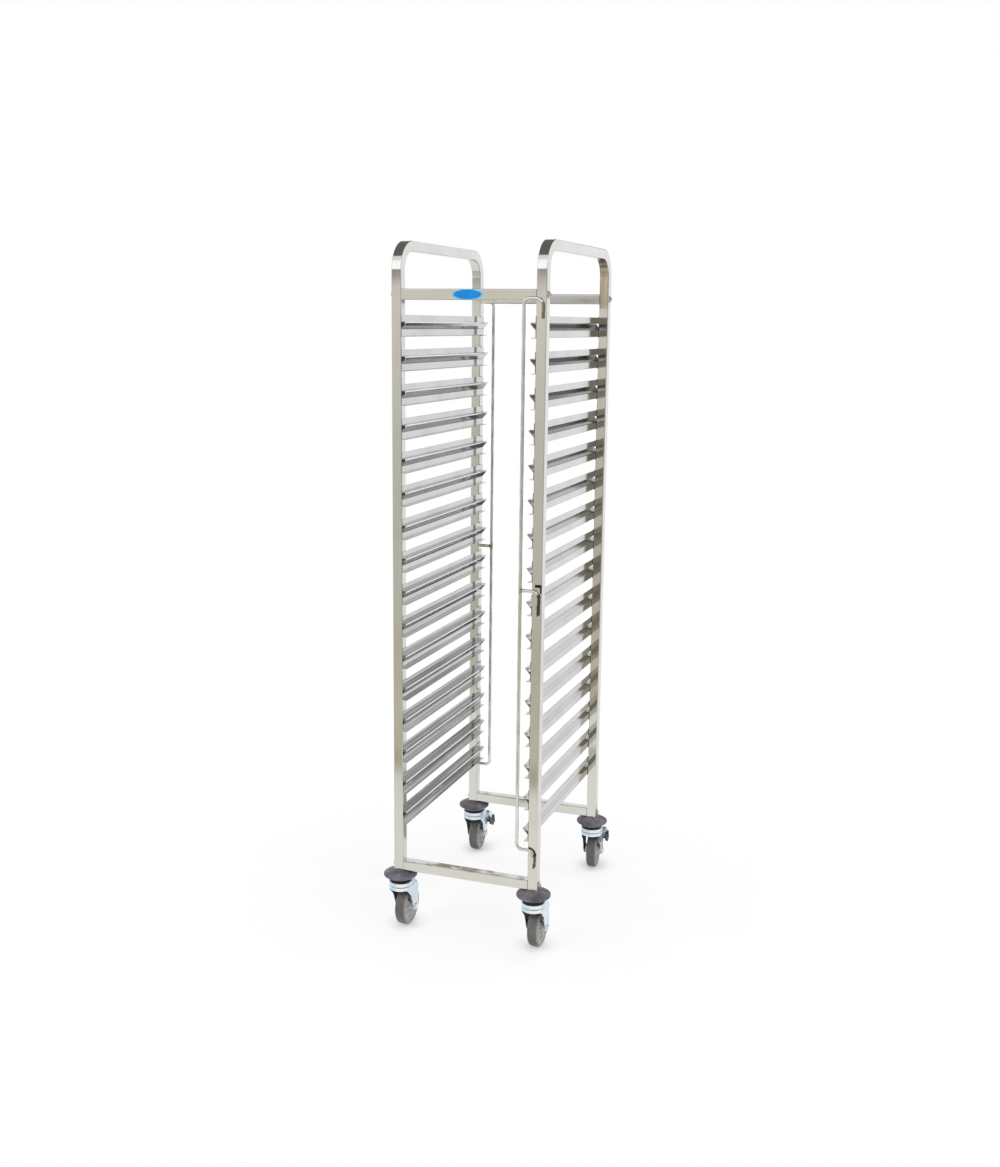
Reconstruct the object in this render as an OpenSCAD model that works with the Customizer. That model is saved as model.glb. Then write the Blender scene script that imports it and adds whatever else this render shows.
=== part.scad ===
// Tray trolley for gastronorm trays: a knock-down frame of square stainless tube
// with two bent handle hoops, folded sheet runners for sixteen levels, two swinging
// rod gates and four swivel castors with bumper discs, the rear two braked.
//
// X runs across the trolley, Y from front (negative) to back, Z up.
// The origin is on the floor, below the middle of the frame.

/* [Frame] */
// Width over the posts, side to side
frame_w = 380; // [340:1:480]
// Depth over the posts, front to back
frame_d = 550; // [460:1:700]
// Outer size of the square frame tube
tube = 25; // [24:0.5:30]
// Wall of the frame tube
tube_wall = 1.2; // [0.8:0.1:2]
// Outer corner radius of the frame tube
tube_corner = 2.5; // [2.1:0.1:4]
// Height of the handle hoops above the top rails
hoop_rise = 112; // [90:1:180]
// Radius of the hoops' bends, measured on the outside
hoop_bend_r = 70; // [45:1:85]
// Drop of the joint between hoop and post below the top rails
joint_drop = 9; // [4:1:20]
// Length of the joint spigot on each side of the joint
spigot_reach = 30; // [26:1:33]

/* [Runners] */
// Number of tray levels
levels = 16; // [4:1:18]
// Height from one tray level to the next
level_pitch = 80; // [65:1:100]
// Height of the lowest ledge above the foot of the posts
first_ledge = 160; // [100:1:260]
// Room between the top ledge and the top rails
top_room = 49; // [40:1:120]
// Sheet thickness of the runners
runner_sheet = 1.2; // [0.8:0.1:1.5]
// Reach of the tray ledge inwards from the post
ledge_w = 14; // [11:0.5:20]
// Outer radius of the fold at the ledge's nose
nose_r = 2.4; // [1.8:0.1:3]
// Height of the strip above the ledge
upper_strip = 15; // [10:0.5:20]
// Drop of the slanting flank below the ledge
flank_drop = 18; // [14:0.5:24]
// Height of the strip below the flank
lower_strip = 17; // [12:0.5:22]
// Reach of the anti-tip lip at the runner's lower edge
lip_w = 11; // [6:0.5:16]
// Set-back of the runners' ends from the posts' faces
runner_setback = 1; // [0.5:0.5:6]

/* [Gates] */
// Diameter of the gate rod
rod_d = 8; // [6:0.5:9]
// Distance from the gate's pivot to its upright
gate_reach = 42; // [34:1:60]
// Distance of the pivot from the post's outer face
gate_inset = 10; // [9:0.5:12]
// Distance of the pivot from the face that it hangs on
gate_stand = 5; // [4.9:0.1:8]
// Radius of the rod's bends, measured on its centre line
rod_bend_r = 13; // [9:1:15]
// Height of the top arm above the underside of the top rails
gate_top_up = 5; // [0:1:12]
// Height of the middle arm above the foot of the posts
gate_mid_up = 746; // [500:1:900]
// Height of the bottom arm above the foot of the posts
gate_low_up = 106; // [92:1:140]
// Length of the top and bottom hinge pins below their arms
pin_drop = 45; // [40:1:70]
// Length of the middle hinge pin below its arm
mid_pin_drop = 58; // [40:1:70]
// Height of each strap that holds a hinge pin
strap_h = 18; // [10:1:24]
// Sheet thickness of the straps
strap_sheet = 1.2; // [0.8:0.1:1.5]

/* [Fasteners] */
// Diameter of the frame bolts
bolt_d = 6; // [5:0.5:8]
// Diameter of the bolts' domed heads
dome_d = 12; // [10:0.5:14]
// Height of the domed heads
dome_h = 5; // [3.5:0.5:6]
// Outer diameter of the washers
washer_d = 18; // [15:1:22]
// Thickness of the washers
washer_t = 1.4; // [1:0.1:2]
// Depth of the threaded blocks in the ends of the rails
end_nut_l = 18; // [10:1:30]
// Width of the oval plate on the top front rail
plate_w = 76; // [50:1:110]
// Height of the oval plate
plate_h = 24; // [16:0.5:25]
// Thickness of the oval plate
plate_t = 1; // [0.6:0.1:2]

/* [Castors] */
// Diameter of the castor wheels
wheel_d = 100; // [90:1:104]
// Width of the tyres
wheel_w = 28; // [26:1:32]
// Thickness of the tyre's tread band
tyre_t = 12; // [8:0.5:16]
// Radius of the tyre's rounded shoulders
tyre_round = 8; // [4:0.5:10]
// Distance of the wheel's axle behind the swivel axis
trail = 38; // [34:1:44]
// Height from the floor to the underside of the bumper
castor_h = 132; // [130:1:150]
// Diameter of the castor's crown
crown_d = 58; // [56:0.5:66]
// Height of the crown's skirt
crown_skirt = 20.5; // [18:0.5:22]
// Sheet thickness of the castor forks
fork_sheet = 2.5; // [2:0.1:3.5]
// Gap between the tyre and each fork leg
leg_gap = 9.5; // [8.5:0.1:11]
// Radius of the fork leg's round end
leg_end_r = 12; // [9.5:0.5:15]
// Diameter of the axle bolt
axle_d = 8; // [6:0.5:10]
// Diameter of the sleeve that the wheel turns on
sleeve_d = 12; // [11:0.5:16]
// Diameter of the kingpin
kingpin_d = 10; // [8:0.5:12]
// Number of balls in each swivel race
balls = 12; // [8:1:16]
// Diameter of the balls
ball_d = 5; // [4:0.5:6]
// Turn of the front left castor from straight back
turn_front_left = -1; // [-180:1:180]
// Turn of the front right castor from straight back
turn_front_right = 0; // [-180:1:180]
// Turn of the rear left castor from straight back
turn_rear_left = 4; // [-180:1:180]
// Turn of the rear right castor from straight back
turn_rear_right = 6; // [-180:1:180]

/* [Bumpers] */
// Diameter of the bumper discs
bumper_d = 85; // [76:1:110]
// Height of the bumpers, from crown to post
bumper_h = 32; // [28:1:40]
// Diameter of the bumper's neck
bumper_neck_d = 57; // [50:1:60]
// Height of the neck
bumper_neck_h = 8; // [5:0.5:10]
// Radius of the bumper's round rim
bumper_rim_r = 3.2; // [2.5:0.1:6]

/* [Brakes] */
// Diameter of the brake pivot pin
brake_pin_d = 5; // [4:0.5:6]
// Radius of the curved brake lever, round the wheel's axle
lever_r = 64; // [63:0.5:67]
// Sheet thickness of the brake lever
lever_sheet = 1.5; // [1:0.1:2]
// Angle at which the lever ends, back from the top of the wheel
lever_end = 78; // [72:1:84]
// Depth of the skirts at the lever's sides
skirt_h = 13; // [10:0.5:16]
// Gap between the brake shoe and the tyre
shoe_gap = 4; // [3.8:0.1:5]
// Thickness of the foot pad's walls
pad_t = 3; // [2:0.1:4]
// Angle at which the foot pad starts, back from the top of the wheel
pad_start = 58; // [44:1:60]

/* [Hidden] */
$fn = 64;

// Clearances: a running fit on a radius, a free fit, and a loose push fit
run_fit = 0.05;
free_fit = 0.3;
slide_fit = 0.1;

// Colours, as they show on the trolley
stainless = [0.78, 0.77, 0.74];
zinc = [0.82, 0.88, 0.92];
bumper_grey = [0.30, 0.29, 0.32];
tyre_grey = [0.42, 0.40, 0.38];
hub_grey = [0.66, 0.66, 0.65];
pad_grey = [0.20, 0.21, 0.23];
plate_blue = [0.12, 0.28, 0.62];
nut_white = [0.88, 0.88, 0.85];

// Places of the frame's parts
post_x = frame_w / 2 - tube / 2;
post_y = frame_d / 2 - tube / 2;
inner_x = frame_w / 2 - tube;
post_foot_z = castor_h + bumper_h;
top_ledge_z = post_foot_z + first_ledge + (levels - 1) * level_pitch;
top_rail_z = top_ledge_z + top_room;
hoop_top_z = top_rail_z + tube + hoop_rise;
joint_z = top_rail_z - joint_drop;
top_bolt_z = top_rail_z + tube / 2;
low_bolt_z = post_foot_z + tube / 2;
bore_in_tube = tube - 2 * tube_wall;
plug = bore_in_tube - 2 * slide_fit;
plug_corner = max(tube_corner - tube_wall, 0.4);
bolt_hole_d = bolt_d + 2 * free_fit;

// Places of the gates
gate_x = frame_w / 2 - gate_inset;
gate_y = -frame_d / 2 - gate_stand;
gate_top_z = top_rail_z + gate_top_up;
gate_mid_z = post_foot_z + gate_mid_up;
gate_low_z = post_foot_z + gate_low_up;

// Sizes of the castors, along local Y behind the swivel axis and in height
wheel_r = wheel_d / 2;
leg_in = wheel_w / 2 + leg_gap;
leg_out = leg_in + fork_sheet;
crown_rim_gap = 0.5;
crown_rim_z = castor_h - crown_rim_gap;
crown_foot_z = crown_rim_z - crown_skirt;
race_t = 4;
race_z = castor_h - race_t;
race_d = crown_d - 2 * fork_sheet - 2 * free_fit;
ball_gap = 0.2;
floor_z = race_z - ball_d - 2 * ball_gap;
floor_t = 3.6;
boss_h = 3;
boss_wall = 4;
rivet_h = 3;
rivet_rim = 3.5;
stem_d = 20;
spigot_up = 40;
head_h = 3.5;
hex_rim = 3.5;
leg_front = 14;
leg_shoulder = [leg_end_r, 60];
leg_slope = 8;
leg_knee = [-29, 37];
roof_t = 2.5;
roof_back = 4;

// Sizes of the brakes, in the same local frame
pin_ahead = 4;
pin_up = 54.5;
pin_y = trail - pin_ahead;
pin_z = wheel_r + pin_up;
pin_head = [1.5, 1.5];
lever_gap = 1;
lever_flare = 5;
neck_out = leg_in - lever_gap;
lever_out = leg_out + lever_flare;
lever_start = asin((crown_d / 2 + lever_gap - trail) / lever_r);
lever_wide = 14;
lever_lap = 4;
eye_wall = 3.5;
shoe_start = 8;
shoe_end = 22;
pad_lap = 2;
pad_foot = 10;
wing_top = [10, 47];
wing_low = [16, 22];
wing_back = 6;

function castor_place(side, end) = [side * post_x, end * post_y, 0];

// Point where a line from p touches the circle round c, on its right seen from p
function touch_point(p, c, r) =
    let (d = norm(c - p), a = atan2(c[1] - p[1], c[0] - p[0]) - asin(r / d))
    p + sqrt(d * d - r * r) * [cos(a), sin(a)];

// Filled rectangle with round corners, centred
module round_rect(w, h, r) {
    square([w - 2 * r, h], center = true);
    square([w, h - 2 * r], center = true);
    for (sx = [-1, 1], sy = [-1, 1])
        translate([sx * (w / 2 - r), sy * (h / 2 - r)])
            circle(r = r);
}

// Section of the frame tube
module tube_section() {
    difference() {
        round_rect(tube, tube, tube_corner);
        round_rect(bore_in_tube, bore_in_tube, plug_corner);
    }
}

// Hole for a frame bolt, across the trolley, through the whole tube
module bolt_hole(z) {
    translate([0, 0, z])
        rotate([0, 90, 0])
            cylinder(d = bolt_hole_d, h = 2 * tube, center = true);
}

// Bent handle: two legs, two quarter bends and a straight grip
module hoop(side) {
    grip_l = frame_d - 2 * hoop_bend_r;
    bend_z = hoop_top_z - hoop_bend_r;
    color(stainless)
        translate([side * post_x, 0, 0]) {
            for (end = [-1, 1])
                difference() {
                    translate([0, end * post_y, joint_z])
                        linear_extrude(bend_z - joint_z)
                            tube_section();
                    translate([0, end * post_y, 0])
                        bolt_hole(top_bolt_z);
                }
            for (flip = [0, 1])
                mirror([0, flip, 0])
                    translate([0, grip_l / 2, bend_z])
                        rotate([90, 0, 90])
                            rotate_extrude(angle = 90)
                                translate([hoop_bend_r - tube / 2, 0])
                                    tube_section();
            translate([0, grip_l / 2, hoop_top_z - tube / 2])
                rotate([90, 0, 0])
                    linear_extrude(grip_l)
                        tube_section();
        }
}

// Upright of the frame, from the bumper to the joint with the hoop
module post(side, end) {
    color(stainless)
        translate(castor_place(side, end))
            difference() {
                translate([0, 0, post_foot_z])
                    linear_extrude(joint_z - post_foot_z)
                        tube_section();
                bolt_hole(low_bolt_z);
            }
}

// Cross rail between two posts, with its underside at height z
module rail(end, z) {
    color(stainless)
        translate([-inner_x, end * post_y, z + tube / 2])
            rotate([90, 0, 90])
                linear_extrude(2 * inner_x)
                    tube_section();
}

// Spigots inside the joints of hoops and posts, crossed by the top bolts
module hoop_spigots() {
    color(nut_white)
        for (side = [-1, 1], end = [-1, 1])
            translate(castor_place(side, end))
                difference() {
                    translate([0, 0, joint_z - spigot_reach])
                        linear_extrude(2 * spigot_reach)
                            round_rect(plug, plug, plug_corner);
                    bolt_hole(top_bolt_z);
                }
}

// Puts its children at every frame bolt, with local +X pointing outwards
module at_bolts() {
    for (z = [low_bolt_z, top_bolt_z], end = [-1, 1], flip = [0, 1])
        mirror([flip, 0, 0])
            translate([frame_w / 2, end * post_y, z])
                children();
}

// Threaded blocks in the ends of the rails
module rail_end_nuts() {
    color(nut_white)
        at_bolts()
            translate([-tube - end_nut_l, 0, 0])
                rotate([90, 0, 90])
                    difference() {
                        linear_extrude(end_nut_l)
                            round_rect(plug, plug, plug_corner);
                        translate([0, 0, -1])
                            cylinder(d = bolt_d + 2 * run_fit, h = end_nut_l + 2);
                    }
}

// Domed bolts through posts and hoops into the rails
module frame_bolts() {
    shank_short = 2;
    shank_l = washer_t + tube + end_nut_l - shank_short;
    dome_r = (pow(dome_d / 2, 2) + pow(dome_h, 2)) / (2 * dome_h);
    color(stainless)
        at_bolts()
            translate([washer_t, 0, 0])
                rotate([0, 90, 0]) {
                    translate([0, 0, -shank_l])
                        cylinder(d = bolt_d, h = shank_l + 1);
                    intersection() {
                        translate([0, 0, dome_h - dome_r])
                            sphere(r = dome_r);
                        cylinder(d = dome_d + 2, h = dome_h + 1);
                    }
                }
}

// Flat washers under the bolts' heads
module frame_washers() {
    color(stainless)
        at_bolts()
            rotate([0, 90, 0])
                difference() {
                    cylinder(d = washer_d, h = washer_t);
                    translate([0, 0, -1])
                        cylinder(d = bolt_hole_d, h = washer_t + 2);
                }
}

// Plain oval plate on the top front rail
module oval_plate() {
    steps = 64;
    color(plate_blue)
        translate([0, -frame_d / 2, top_bolt_z])
            rotate([90, 0, 0])
                linear_extrude(plate_t)
                    polygon([for (i = [0 : steps - 1])
                        [plate_w / 2 * cos(i * 360 / steps),
                         plate_h / 2 * sin(i * 360 / steps)]]);
}

// Section of a runner: x inwards from the post, y up from the ledge's top
module runner_section() {
    t = runner_sheet;
    nose = [ledge_w - nose_r, -nose_r];
    knee = [t, -flank_drop];
    touch = touch_point(knee, nose, nose_r);
    run = (touch - knee) / norm(touch - knee);
    up = [-run[1], run[0]];
    square([t, upper_strip]);
    translate([0, -t])
        square([nose[0], t]);
    intersection() {
        difference() {
            translate(nose)
                circle(r = nose_r);
            translate(nose)
                circle(r = nose_r - t);
        }
        polygon([nose, nose + [0, 2 * nose_r], nose + [3, 2] * nose_r,
                 nose + [3, -3] * nose_r, nose - 2 * nose_r * up]);
    }
    polygon([knee, touch, touch + t * up, knee + t * up]);
    translate([0, -flank_drop - lower_strip])
        square([t, lower_strip + t]);
    translate([0, -flank_drop - lower_strip])
        square([lip_w, t]);
}

// Runners of one side: quarter 0 holds the highest levels, quarter 3 the lowest
module runners(side, quarter) {
    color(stainless)
        for (i = [0 : levels - 1])
            if (floor(i * 4 / levels) == quarter)
                translate([side * inner_x, 0, top_ledge_z - i * level_pitch])
                    mirror([side > 0 ? 1 : 0, 0, 0])
                        rotate([90, 0, 0])
                            linear_extrude(frame_d - 2 * runner_setback, center = true)
                                runner_section();
}

// Puts its children at the front gate, or turned half round at the rear gate
module at_gate(rear) {
    rotate([0, 0, rear ? 180 : 0])
        translate([gate_x, gate_y, 0])
            children();
}

// Quarter bend of the rod round [x, z], from angle a, in the gate's plane
module rod_bend(x, z, a) {
    translate([x, 0, z])
        rotate([90, 0, 0])
            rotate([0, 0, a])
                rotate_extrude(angle = 90)
                    translate([rod_bend_r, 0])
                        circle(d = rod_d);
}

// Arm at height z, from x to the bend over the pivot, with its hinge pin of length drop
module gate_arm(x, z, drop) {
    translate([x, 0, z])
        rotate([0, 90, 0])
            cylinder(d = rod_d, h = -rod_bend_r - x);
    rod_bend(-rod_bend_r, z - rod_bend_r, 0);
    translate([0, 0, z - drop])
        cylinder(d = rod_d, h = drop - rod_bend_r);
}

// Rod gate: an upright, its arms and their hinge pins, as one bent and welded rod
module gate(rear) {
    turn_x = -gate_reach + rod_bend_r;
    color(stainless)
        at_gate(rear) {
            translate([-gate_reach, 0, gate_low_z + rod_bend_r])
                cylinder(d = rod_d, h = gate_top_z - gate_low_z - 2 * rod_bend_r);
            rod_bend(turn_x, gate_top_z - rod_bend_r, 90);
            rod_bend(turn_x, gate_low_z + rod_bend_r, 180);
            gate_arm(turn_x, gate_top_z, pin_drop);
            gate_arm(-gate_reach, gate_mid_z, mid_pin_drop);
            gate_arm(turn_x, gate_low_z, pin_drop);
        }
}

// Straps that hold the hinge pins against the post
module gate_straps(rear) {
    bore_r = rod_d / 2 + free_fit;
    strap_edge = 0.5;
    strap_w = tube - 2 * strap_edge;
    color(stainless)
        at_gate(rear)
            for (z = [gate_top_z, gate_mid_z, gate_low_z])
                translate([0, 0, z - rod_bend_r - free_fit - strap_h])
                    difference() {
                        union() {
                            translate([gate_inset - tube + strap_edge, gate_stand - strap_sheet, 0])
                                cube([strap_w, strap_sheet, strap_h]);
                            cylinder(r = bore_r + strap_sheet, h = strap_h);
                        }
                        translate([0, 0, -1])
                            cylinder(r = bore_r, h = strap_h + 2);
                        translate([-tube, gate_stand, -1])
                            cube([2 * tube, tube, strap_h + 2]);
                    }
}

// Fixed part of a castor: spigot in the post, neck, upper race and kingpin
module stem(side, end) {
    rivet_z = floor_z - floor_t - boss_h - free_fit - rivet_h;
    rivet_d = kingpin_d + 2 * rivet_rim;
    color(zinc)
        translate(castor_place(side, end)) {
            difference() {
                translate([0, 0, post_foot_z])
                    linear_extrude(spigot_up)
                        round_rect(plug, plug, plug_corner);
                bolt_hole(low_bolt_z);
            }
            translate([0, 0, race_z])
                cylinder(d = stem_d, h = post_foot_z - race_z + 1);
            translate([0, 0, race_z])
                cylinder(d = race_d, h = race_t);
            translate([0, 0, rivet_z])
                cylinder(d = kingpin_d, h = race_z - rivet_z + 1);
            translate([0, 0, rivet_z])
                cylinder(d = rivet_d, h = rivet_h);
        }
}

// Rubber bumper: a dark neck that flares into a disc with a round rim
module bumper(side, end) {
    rim_share = 0.56;
    top_share = 0.64;
    rim_z = bumper_h * rim_share;
    rim_in = bumper_d / 2 - bumper_rim_r;
    top_r = tube * top_share;
    bore_r = stem_d / 2 + slide_fit;
    color(bumper_grey)
        translate(castor_place(side, end) + [0, 0, castor_h])
            rotate_extrude($fn = 96) {
                translate([rim_in, rim_z])
                    circle(r = bumper_rim_r, $fn = 32);
                polygon([
                    [bore_r, 0],
                    [bumper_neck_d / 2, 0],
                    [bumper_neck_d / 2, bumper_neck_h],
                    [rim_in, rim_z - bumper_rim_r],
                    [rim_in, rim_z + bumper_rim_r],
                    [top_r, bumper_h],
                    [bore_r, bumper_h]
                ]);
            }
}

// Balls between the races of all four castors
module swivel_balls() {
    color(zinc)
        for (side = [-1, 1], end = [-1, 1], i = [0 : balls - 1])
            translate(castor_place(side, end) + [0, 0, race_z - ball_gap - ball_d / 2])
                rotate([0, 0, i * 360 / balls])
                    translate([race_d / 3, 0, 0])
                        sphere(d = ball_d, $fn = 24);
}

// Turns its children with the castor: local +Y trails behind the swivel axis
module at_castor(side, end, turn) {
    translate(castor_place(side, end))
        rotate([0, 0, turn])
            children();
}

// Extrudes a profile drawn in the castor's plane, y back and z up, from x0 to x1
module across(x0, x1) {
    translate([x0, 0, 0])
        rotate([90, 0, 90])
            linear_extrude(x1 - x0)
                children();
}

// Side view of a fork leg, from the crown to its round end at the axle
module leg_profile() {
    axle = [trail, wheel_r];
    knee = axle + leg_knee;
    shoulder = axle + leg_shoulder;
    polygon([
        [-leg_front, crown_foot_z],
        knee,
        touch_point(knee, axle, leg_end_r),
        axle,
        [shoulder[0], wheel_r],
        shoulder,
        [shoulder[0] - leg_slope, floor_z],
        [-leg_front, floor_z]
    ]);
    translate(axle)
        circle(r = leg_end_r);
}

// Swivelling fork: crown with its lower race, and two legs down to the axle
module fork(side, end, turn, braked) {
    pin_r = kingpin_d / 2 + run_fit;
    crown_in = crown_d / 2 - fork_sheet;
    color(zinc)
        at_castor(side, end, turn)
            difference() {
                union() {
                    rotate_extrude() {
                        translate([crown_in, crown_foot_z])
                            square([fork_sheet, crown_skirt]);
                        translate([pin_r, floor_z - floor_t])
                            square([crown_in - pin_r + 1, floor_t]);
                        translate([pin_r, floor_z - floor_t - boss_h])
                            square([boss_wall, boss_h + 1]);
                    }
                    for (x = [-leg_out, leg_in])
                        across(x, x + fork_sheet)
                            leg_profile();
                    translate([-leg_out, leg_end_r, floor_z - roof_t])
                        cube([2 * leg_out, trail + roof_back - leg_end_r, roof_t]);
                }
                translate([0, trail, wheel_r])
                    rotate([0, 90, 0])
                        cylinder(d = axle_d + 2 * run_fit, h = 3 * leg_out, center = true);
                if (braked)
                    translate([0, pin_y, pin_z])
                        rotate([0, 90, 0])
                            cylinder(d = brake_pin_d + 2 * run_fit, h = 3 * leg_out, center = true);
            }
}

// Axle bolt with its sleeve between the legs, its head and its nut
module axle(side, end, turn) {
    hex_d = axle_d + 2 * hex_rim;
    color(zinc)
        at_castor(side, end, turn)
            translate([0, trail, wheel_r])
                rotate([0, 90, 0]) {
                    cylinder(d = sleeve_d, h = 2 * leg_in, center = true);
                    cylinder(d = axle_d, h = 2 * (leg_out + head_h) - 1, center = true);
                    for (z = [-leg_out - head_h, leg_out])
                        translate([0, 0, z])
                            cylinder(d = hex_d, h = head_h, $fn = 6);
                }
}

// Puts a profile drawn as [radius, width] round the wheel's axle
module round_axle(side, end, turn) {
    at_castor(side, end, turn)
        translate([0, trail, wheel_r])
            rotate([0, 90, 0])
                rotate_extrude($fn = 128)
                    children();
}

// Wheel centre: rim, recessed web and a boss that runs on the sleeve
module hub(side, end, turn) {
    bore_r = sleeve_d / 2 + run_fit;
    rim_r = wheel_r - tyre_t;
    rim_t = 5;
    rim_sink = 2;
    web_sink = 6;
    boss_t = 7;
    rim_w = wheel_w - 2 * rim_sink;
    web_w = wheel_w - 2 * web_sink;
    boss_w = 2 * (leg_in - free_fit);
    boss_r = bore_r + boss_t;
    color(hub_grey)
        round_axle(side, end, turn)
            polygon([
                [bore_r, -boss_w / 2],
                [boss_r, -boss_w / 2],
                [boss_r + 1, -web_w / 2],
                [rim_r - rim_t, -web_w / 2],
                [rim_r - rim_t + 1, -rim_w / 2],
                [rim_r, -rim_w / 2],
                [rim_r, rim_w / 2],
                [rim_r - rim_t + 1, rim_w / 2],
                [rim_r - rim_t, web_w / 2],
                [boss_r + 1, web_w / 2],
                [boss_r, boss_w / 2],
                [bore_r, boss_w / 2]
            ]);
}

// Rubber tyre on the wheel centre
module tyre(side, end, turn) {
    core = tyre_t - tyre_round;
    color(tyre_grey)
        round_axle(side, end, turn) {
            translate([wheel_r - tyre_t, -wheel_w / 2])
                square([core, wheel_w]);
            translate([wheel_r - tyre_t, -wheel_w / 2 + tyre_round])
                square([tyre_t, wheel_w - 2 * tyre_round]);
            for (x = [-1, 1])
                intersection() {
                    translate([wheel_r - tyre_round, x * (wheel_w / 2 - tyre_round)])
                        circle(r = tyre_round, $fn = 48);
                    translate([wheel_r - tyre_round - 0.01, -wheel_w])
                        square([wheel_w, 2 * wheel_w]);
                }
        }
}

// Pivot pin of a brake lever, across the fork, with a small head at each end
module brake_pin(side, end, turn) {
    color(zinc)
        at_castor(side, end, turn)
            translate([0, pin_y, pin_z])
                rotate([0, 90, 0]) {
                    cylinder(d = brake_pin_d, h = 2 * leg_out + 2, center = true);
                    for (z = [-leg_out - pin_head[1], leg_out])
                        translate([0, 0, z])
                            cylinder(d = brake_pin_d + 2 * pin_head[0], h = pin_head[1]);
                }
}

// Ring segment round the axle, from angle a0 to a1 back from the wheel's top
module segment(a0, a1, r0, r1, x0, x1) {
    translate([0, trail, wheel_r])
        rotate([0, 90, 0])
            rotate([0, 0, 180 - a1])
                rotate_extrude(angle = a1 - a0, $fn = 128)
                    translate([r0, x0])
                        square([r1 - r0, x1 - x0]);
}

// Curved sheet round the wheel with a skirt on each side
module hood(a0, a1, out) {
    low = lever_r - skirt_h;
    segment(a0, a1, lever_r, lever_r + lever_sheet, -out, out);
    for (x = [-out, out - lever_sheet])
        segment(a0, a1, low, lever_r + lever_sheet / 2, x, x + lever_sheet);
}

// Brake lever: a neck between the fork's legs, a wide end behind them, and the shoe
module brake_lever(side, end, turn) {
    color(zinc)
        at_castor(side, end, turn)
            difference() {
                union() {
                    hood(lever_start, lever_wide + lever_lap, neck_out);
                    hood(lever_wide, lever_end, lever_out);
                    for (x = [-neck_out, neck_out - lever_sheet])
                        across(x, x + lever_sheet)
                            translate([pin_y, pin_z])
                                circle(r = brake_pin_d / 2 + eye_wall);
                    segment(shoe_start, shoe_end, wheel_r + shoe_gap,
                            lever_r + lever_sheet / 2, -wheel_w / 4, wheel_w / 4);
                }
                translate([0, pin_y, pin_z])
                    rotate([0, 90, 0])
                        cylinder(d = brake_pin_d + 2 * run_fit, h = 3 * lever_out, center = true);
            }
}

// Side view of the foot pad's wings, which taper forwards beside the lever
module pad_wing() {
    axle = [trail, wheel_r];
    polygon([
        axle + wing_top,
        axle + lever_r * [sin(lever_end), cos(lever_end)],
        axle + [(lever_r - skirt_h) * sin(lever_end), wing_back],
        axle + wing_low
    ]);
}

// Moulded foot pad on the lever's lower end, with a wing along each side
module brake_pad(side, end, turn) {
    gap = slide_fit;
    low = lever_r - skirt_h;
    top = lever_r + lever_sheet + gap;
    wall = lever_out + gap;
    pad_end = lever_end + pad_lap;
    color(pad_grey)
        at_castor(side, end, turn) {
            segment(pad_start, pad_end, top, top + pad_t, -wall - pad_t, wall + pad_t);
            segment(lever_end + gap, pad_end, wheel_r + pad_foot, top + 1, -wall - pad_t, wall + pad_t);
            for (x = [-wall - pad_t, wall]) {
                segment(pad_start, pad_end, low, top + 1, x, x + pad_t);
                across(x, x + pad_t)
                    pad_wing();
            }
        }
}

hoop(-1);  // hoop_left
hoop(1);  // hoop_right
post(-1, -1);  // post_front_left
post(1, -1);  // post_front_right
post(-1, 1);  // post_rear_left
post(1, 1);  // post_rear_right
rail(-1, top_rail_z);  // top_rail_front
rail(1, top_rail_z);  // top_rail_rear
rail(-1, post_foot_z);  // bottom_rail_front
rail(1, post_foot_z);  // bottom_rail_rear
hoop_spigots();
rail_end_nuts();
frame_bolts();
frame_washers();
oval_plate();
runners(-1, 0);  // runners_left_top
runners(-1, 1);  // runners_left_upper
runners(-1, 2);  // runners_left_lower
runners(-1, 3);  // runners_left_bottom
runners(1, 0);  // runners_right_top
runners(1, 1);  // runners_right_upper
runners(1, 2);  // runners_right_lower
runners(1, 3);  // runners_right_bottom
gate_straps(false);  // gate_straps_front
gate_straps(true);  // gate_straps_rear
gate(false);  // gate_front
gate(true);  // gate_rear
stem(-1, -1);  // stem_front_left
stem(1, -1);  // stem_front_right
stem(-1, 1);  // stem_rear_left
stem(1, 1);  // stem_rear_right
bumper(-1, -1);  // bumper_front_left
bumper(1, -1);  // bumper_front_right
bumper(-1, 1);  // bumper_rear_left
bumper(1, 1);  // bumper_rear_right
swivel_balls();
fork(-1, -1, turn_front_left, false);  // fork_front_left
fork(1, -1, turn_front_right, false);  // fork_front_right
fork(-1, 1, turn_rear_left, true);  // fork_rear_left
fork(1, 1, turn_rear_right, true);  // fork_rear_right
axle(-1, -1, turn_front_left);  // axle_front_left
axle(1, -1, turn_front_right);  // axle_front_right
axle(-1, 1, turn_rear_left);  // axle_rear_left
axle(1, 1, turn_rear_right);  // axle_rear_right
hub(-1, -1, turn_front_left);  // hub_front_left
hub(1, -1, turn_front_right);  // hub_front_right
hub(-1, 1, turn_rear_left);  // hub_rear_left
hub(1, 1, turn_rear_right);  // hub_rear_right
tyre(-1, -1, turn_front_left);  // tyre_front_left
tyre(1, -1, turn_front_right);  // tyre_front_right
tyre(-1, 1, turn_rear_left);  // tyre_rear_left
tyre(1, 1, turn_rear_right);  // tyre_rear_right
brake_pin(-1, 1, turn_rear_left);  // brake_pin_rear_left
brake_pin(1, 1, turn_rear_right);  // brake_pin_rear_right
brake_lever(-1, 1, turn_rear_left);  // brake_lever_rear_left
brake_lever(1, 1, turn_rear_right);  // brake_lever_rear_right
brake_pad(-1, 1, turn_rear_left);  // brake_pad_rear_left
brake_pad(1, 1, turn_rear_right);  // brake_pad_rear_right
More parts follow.
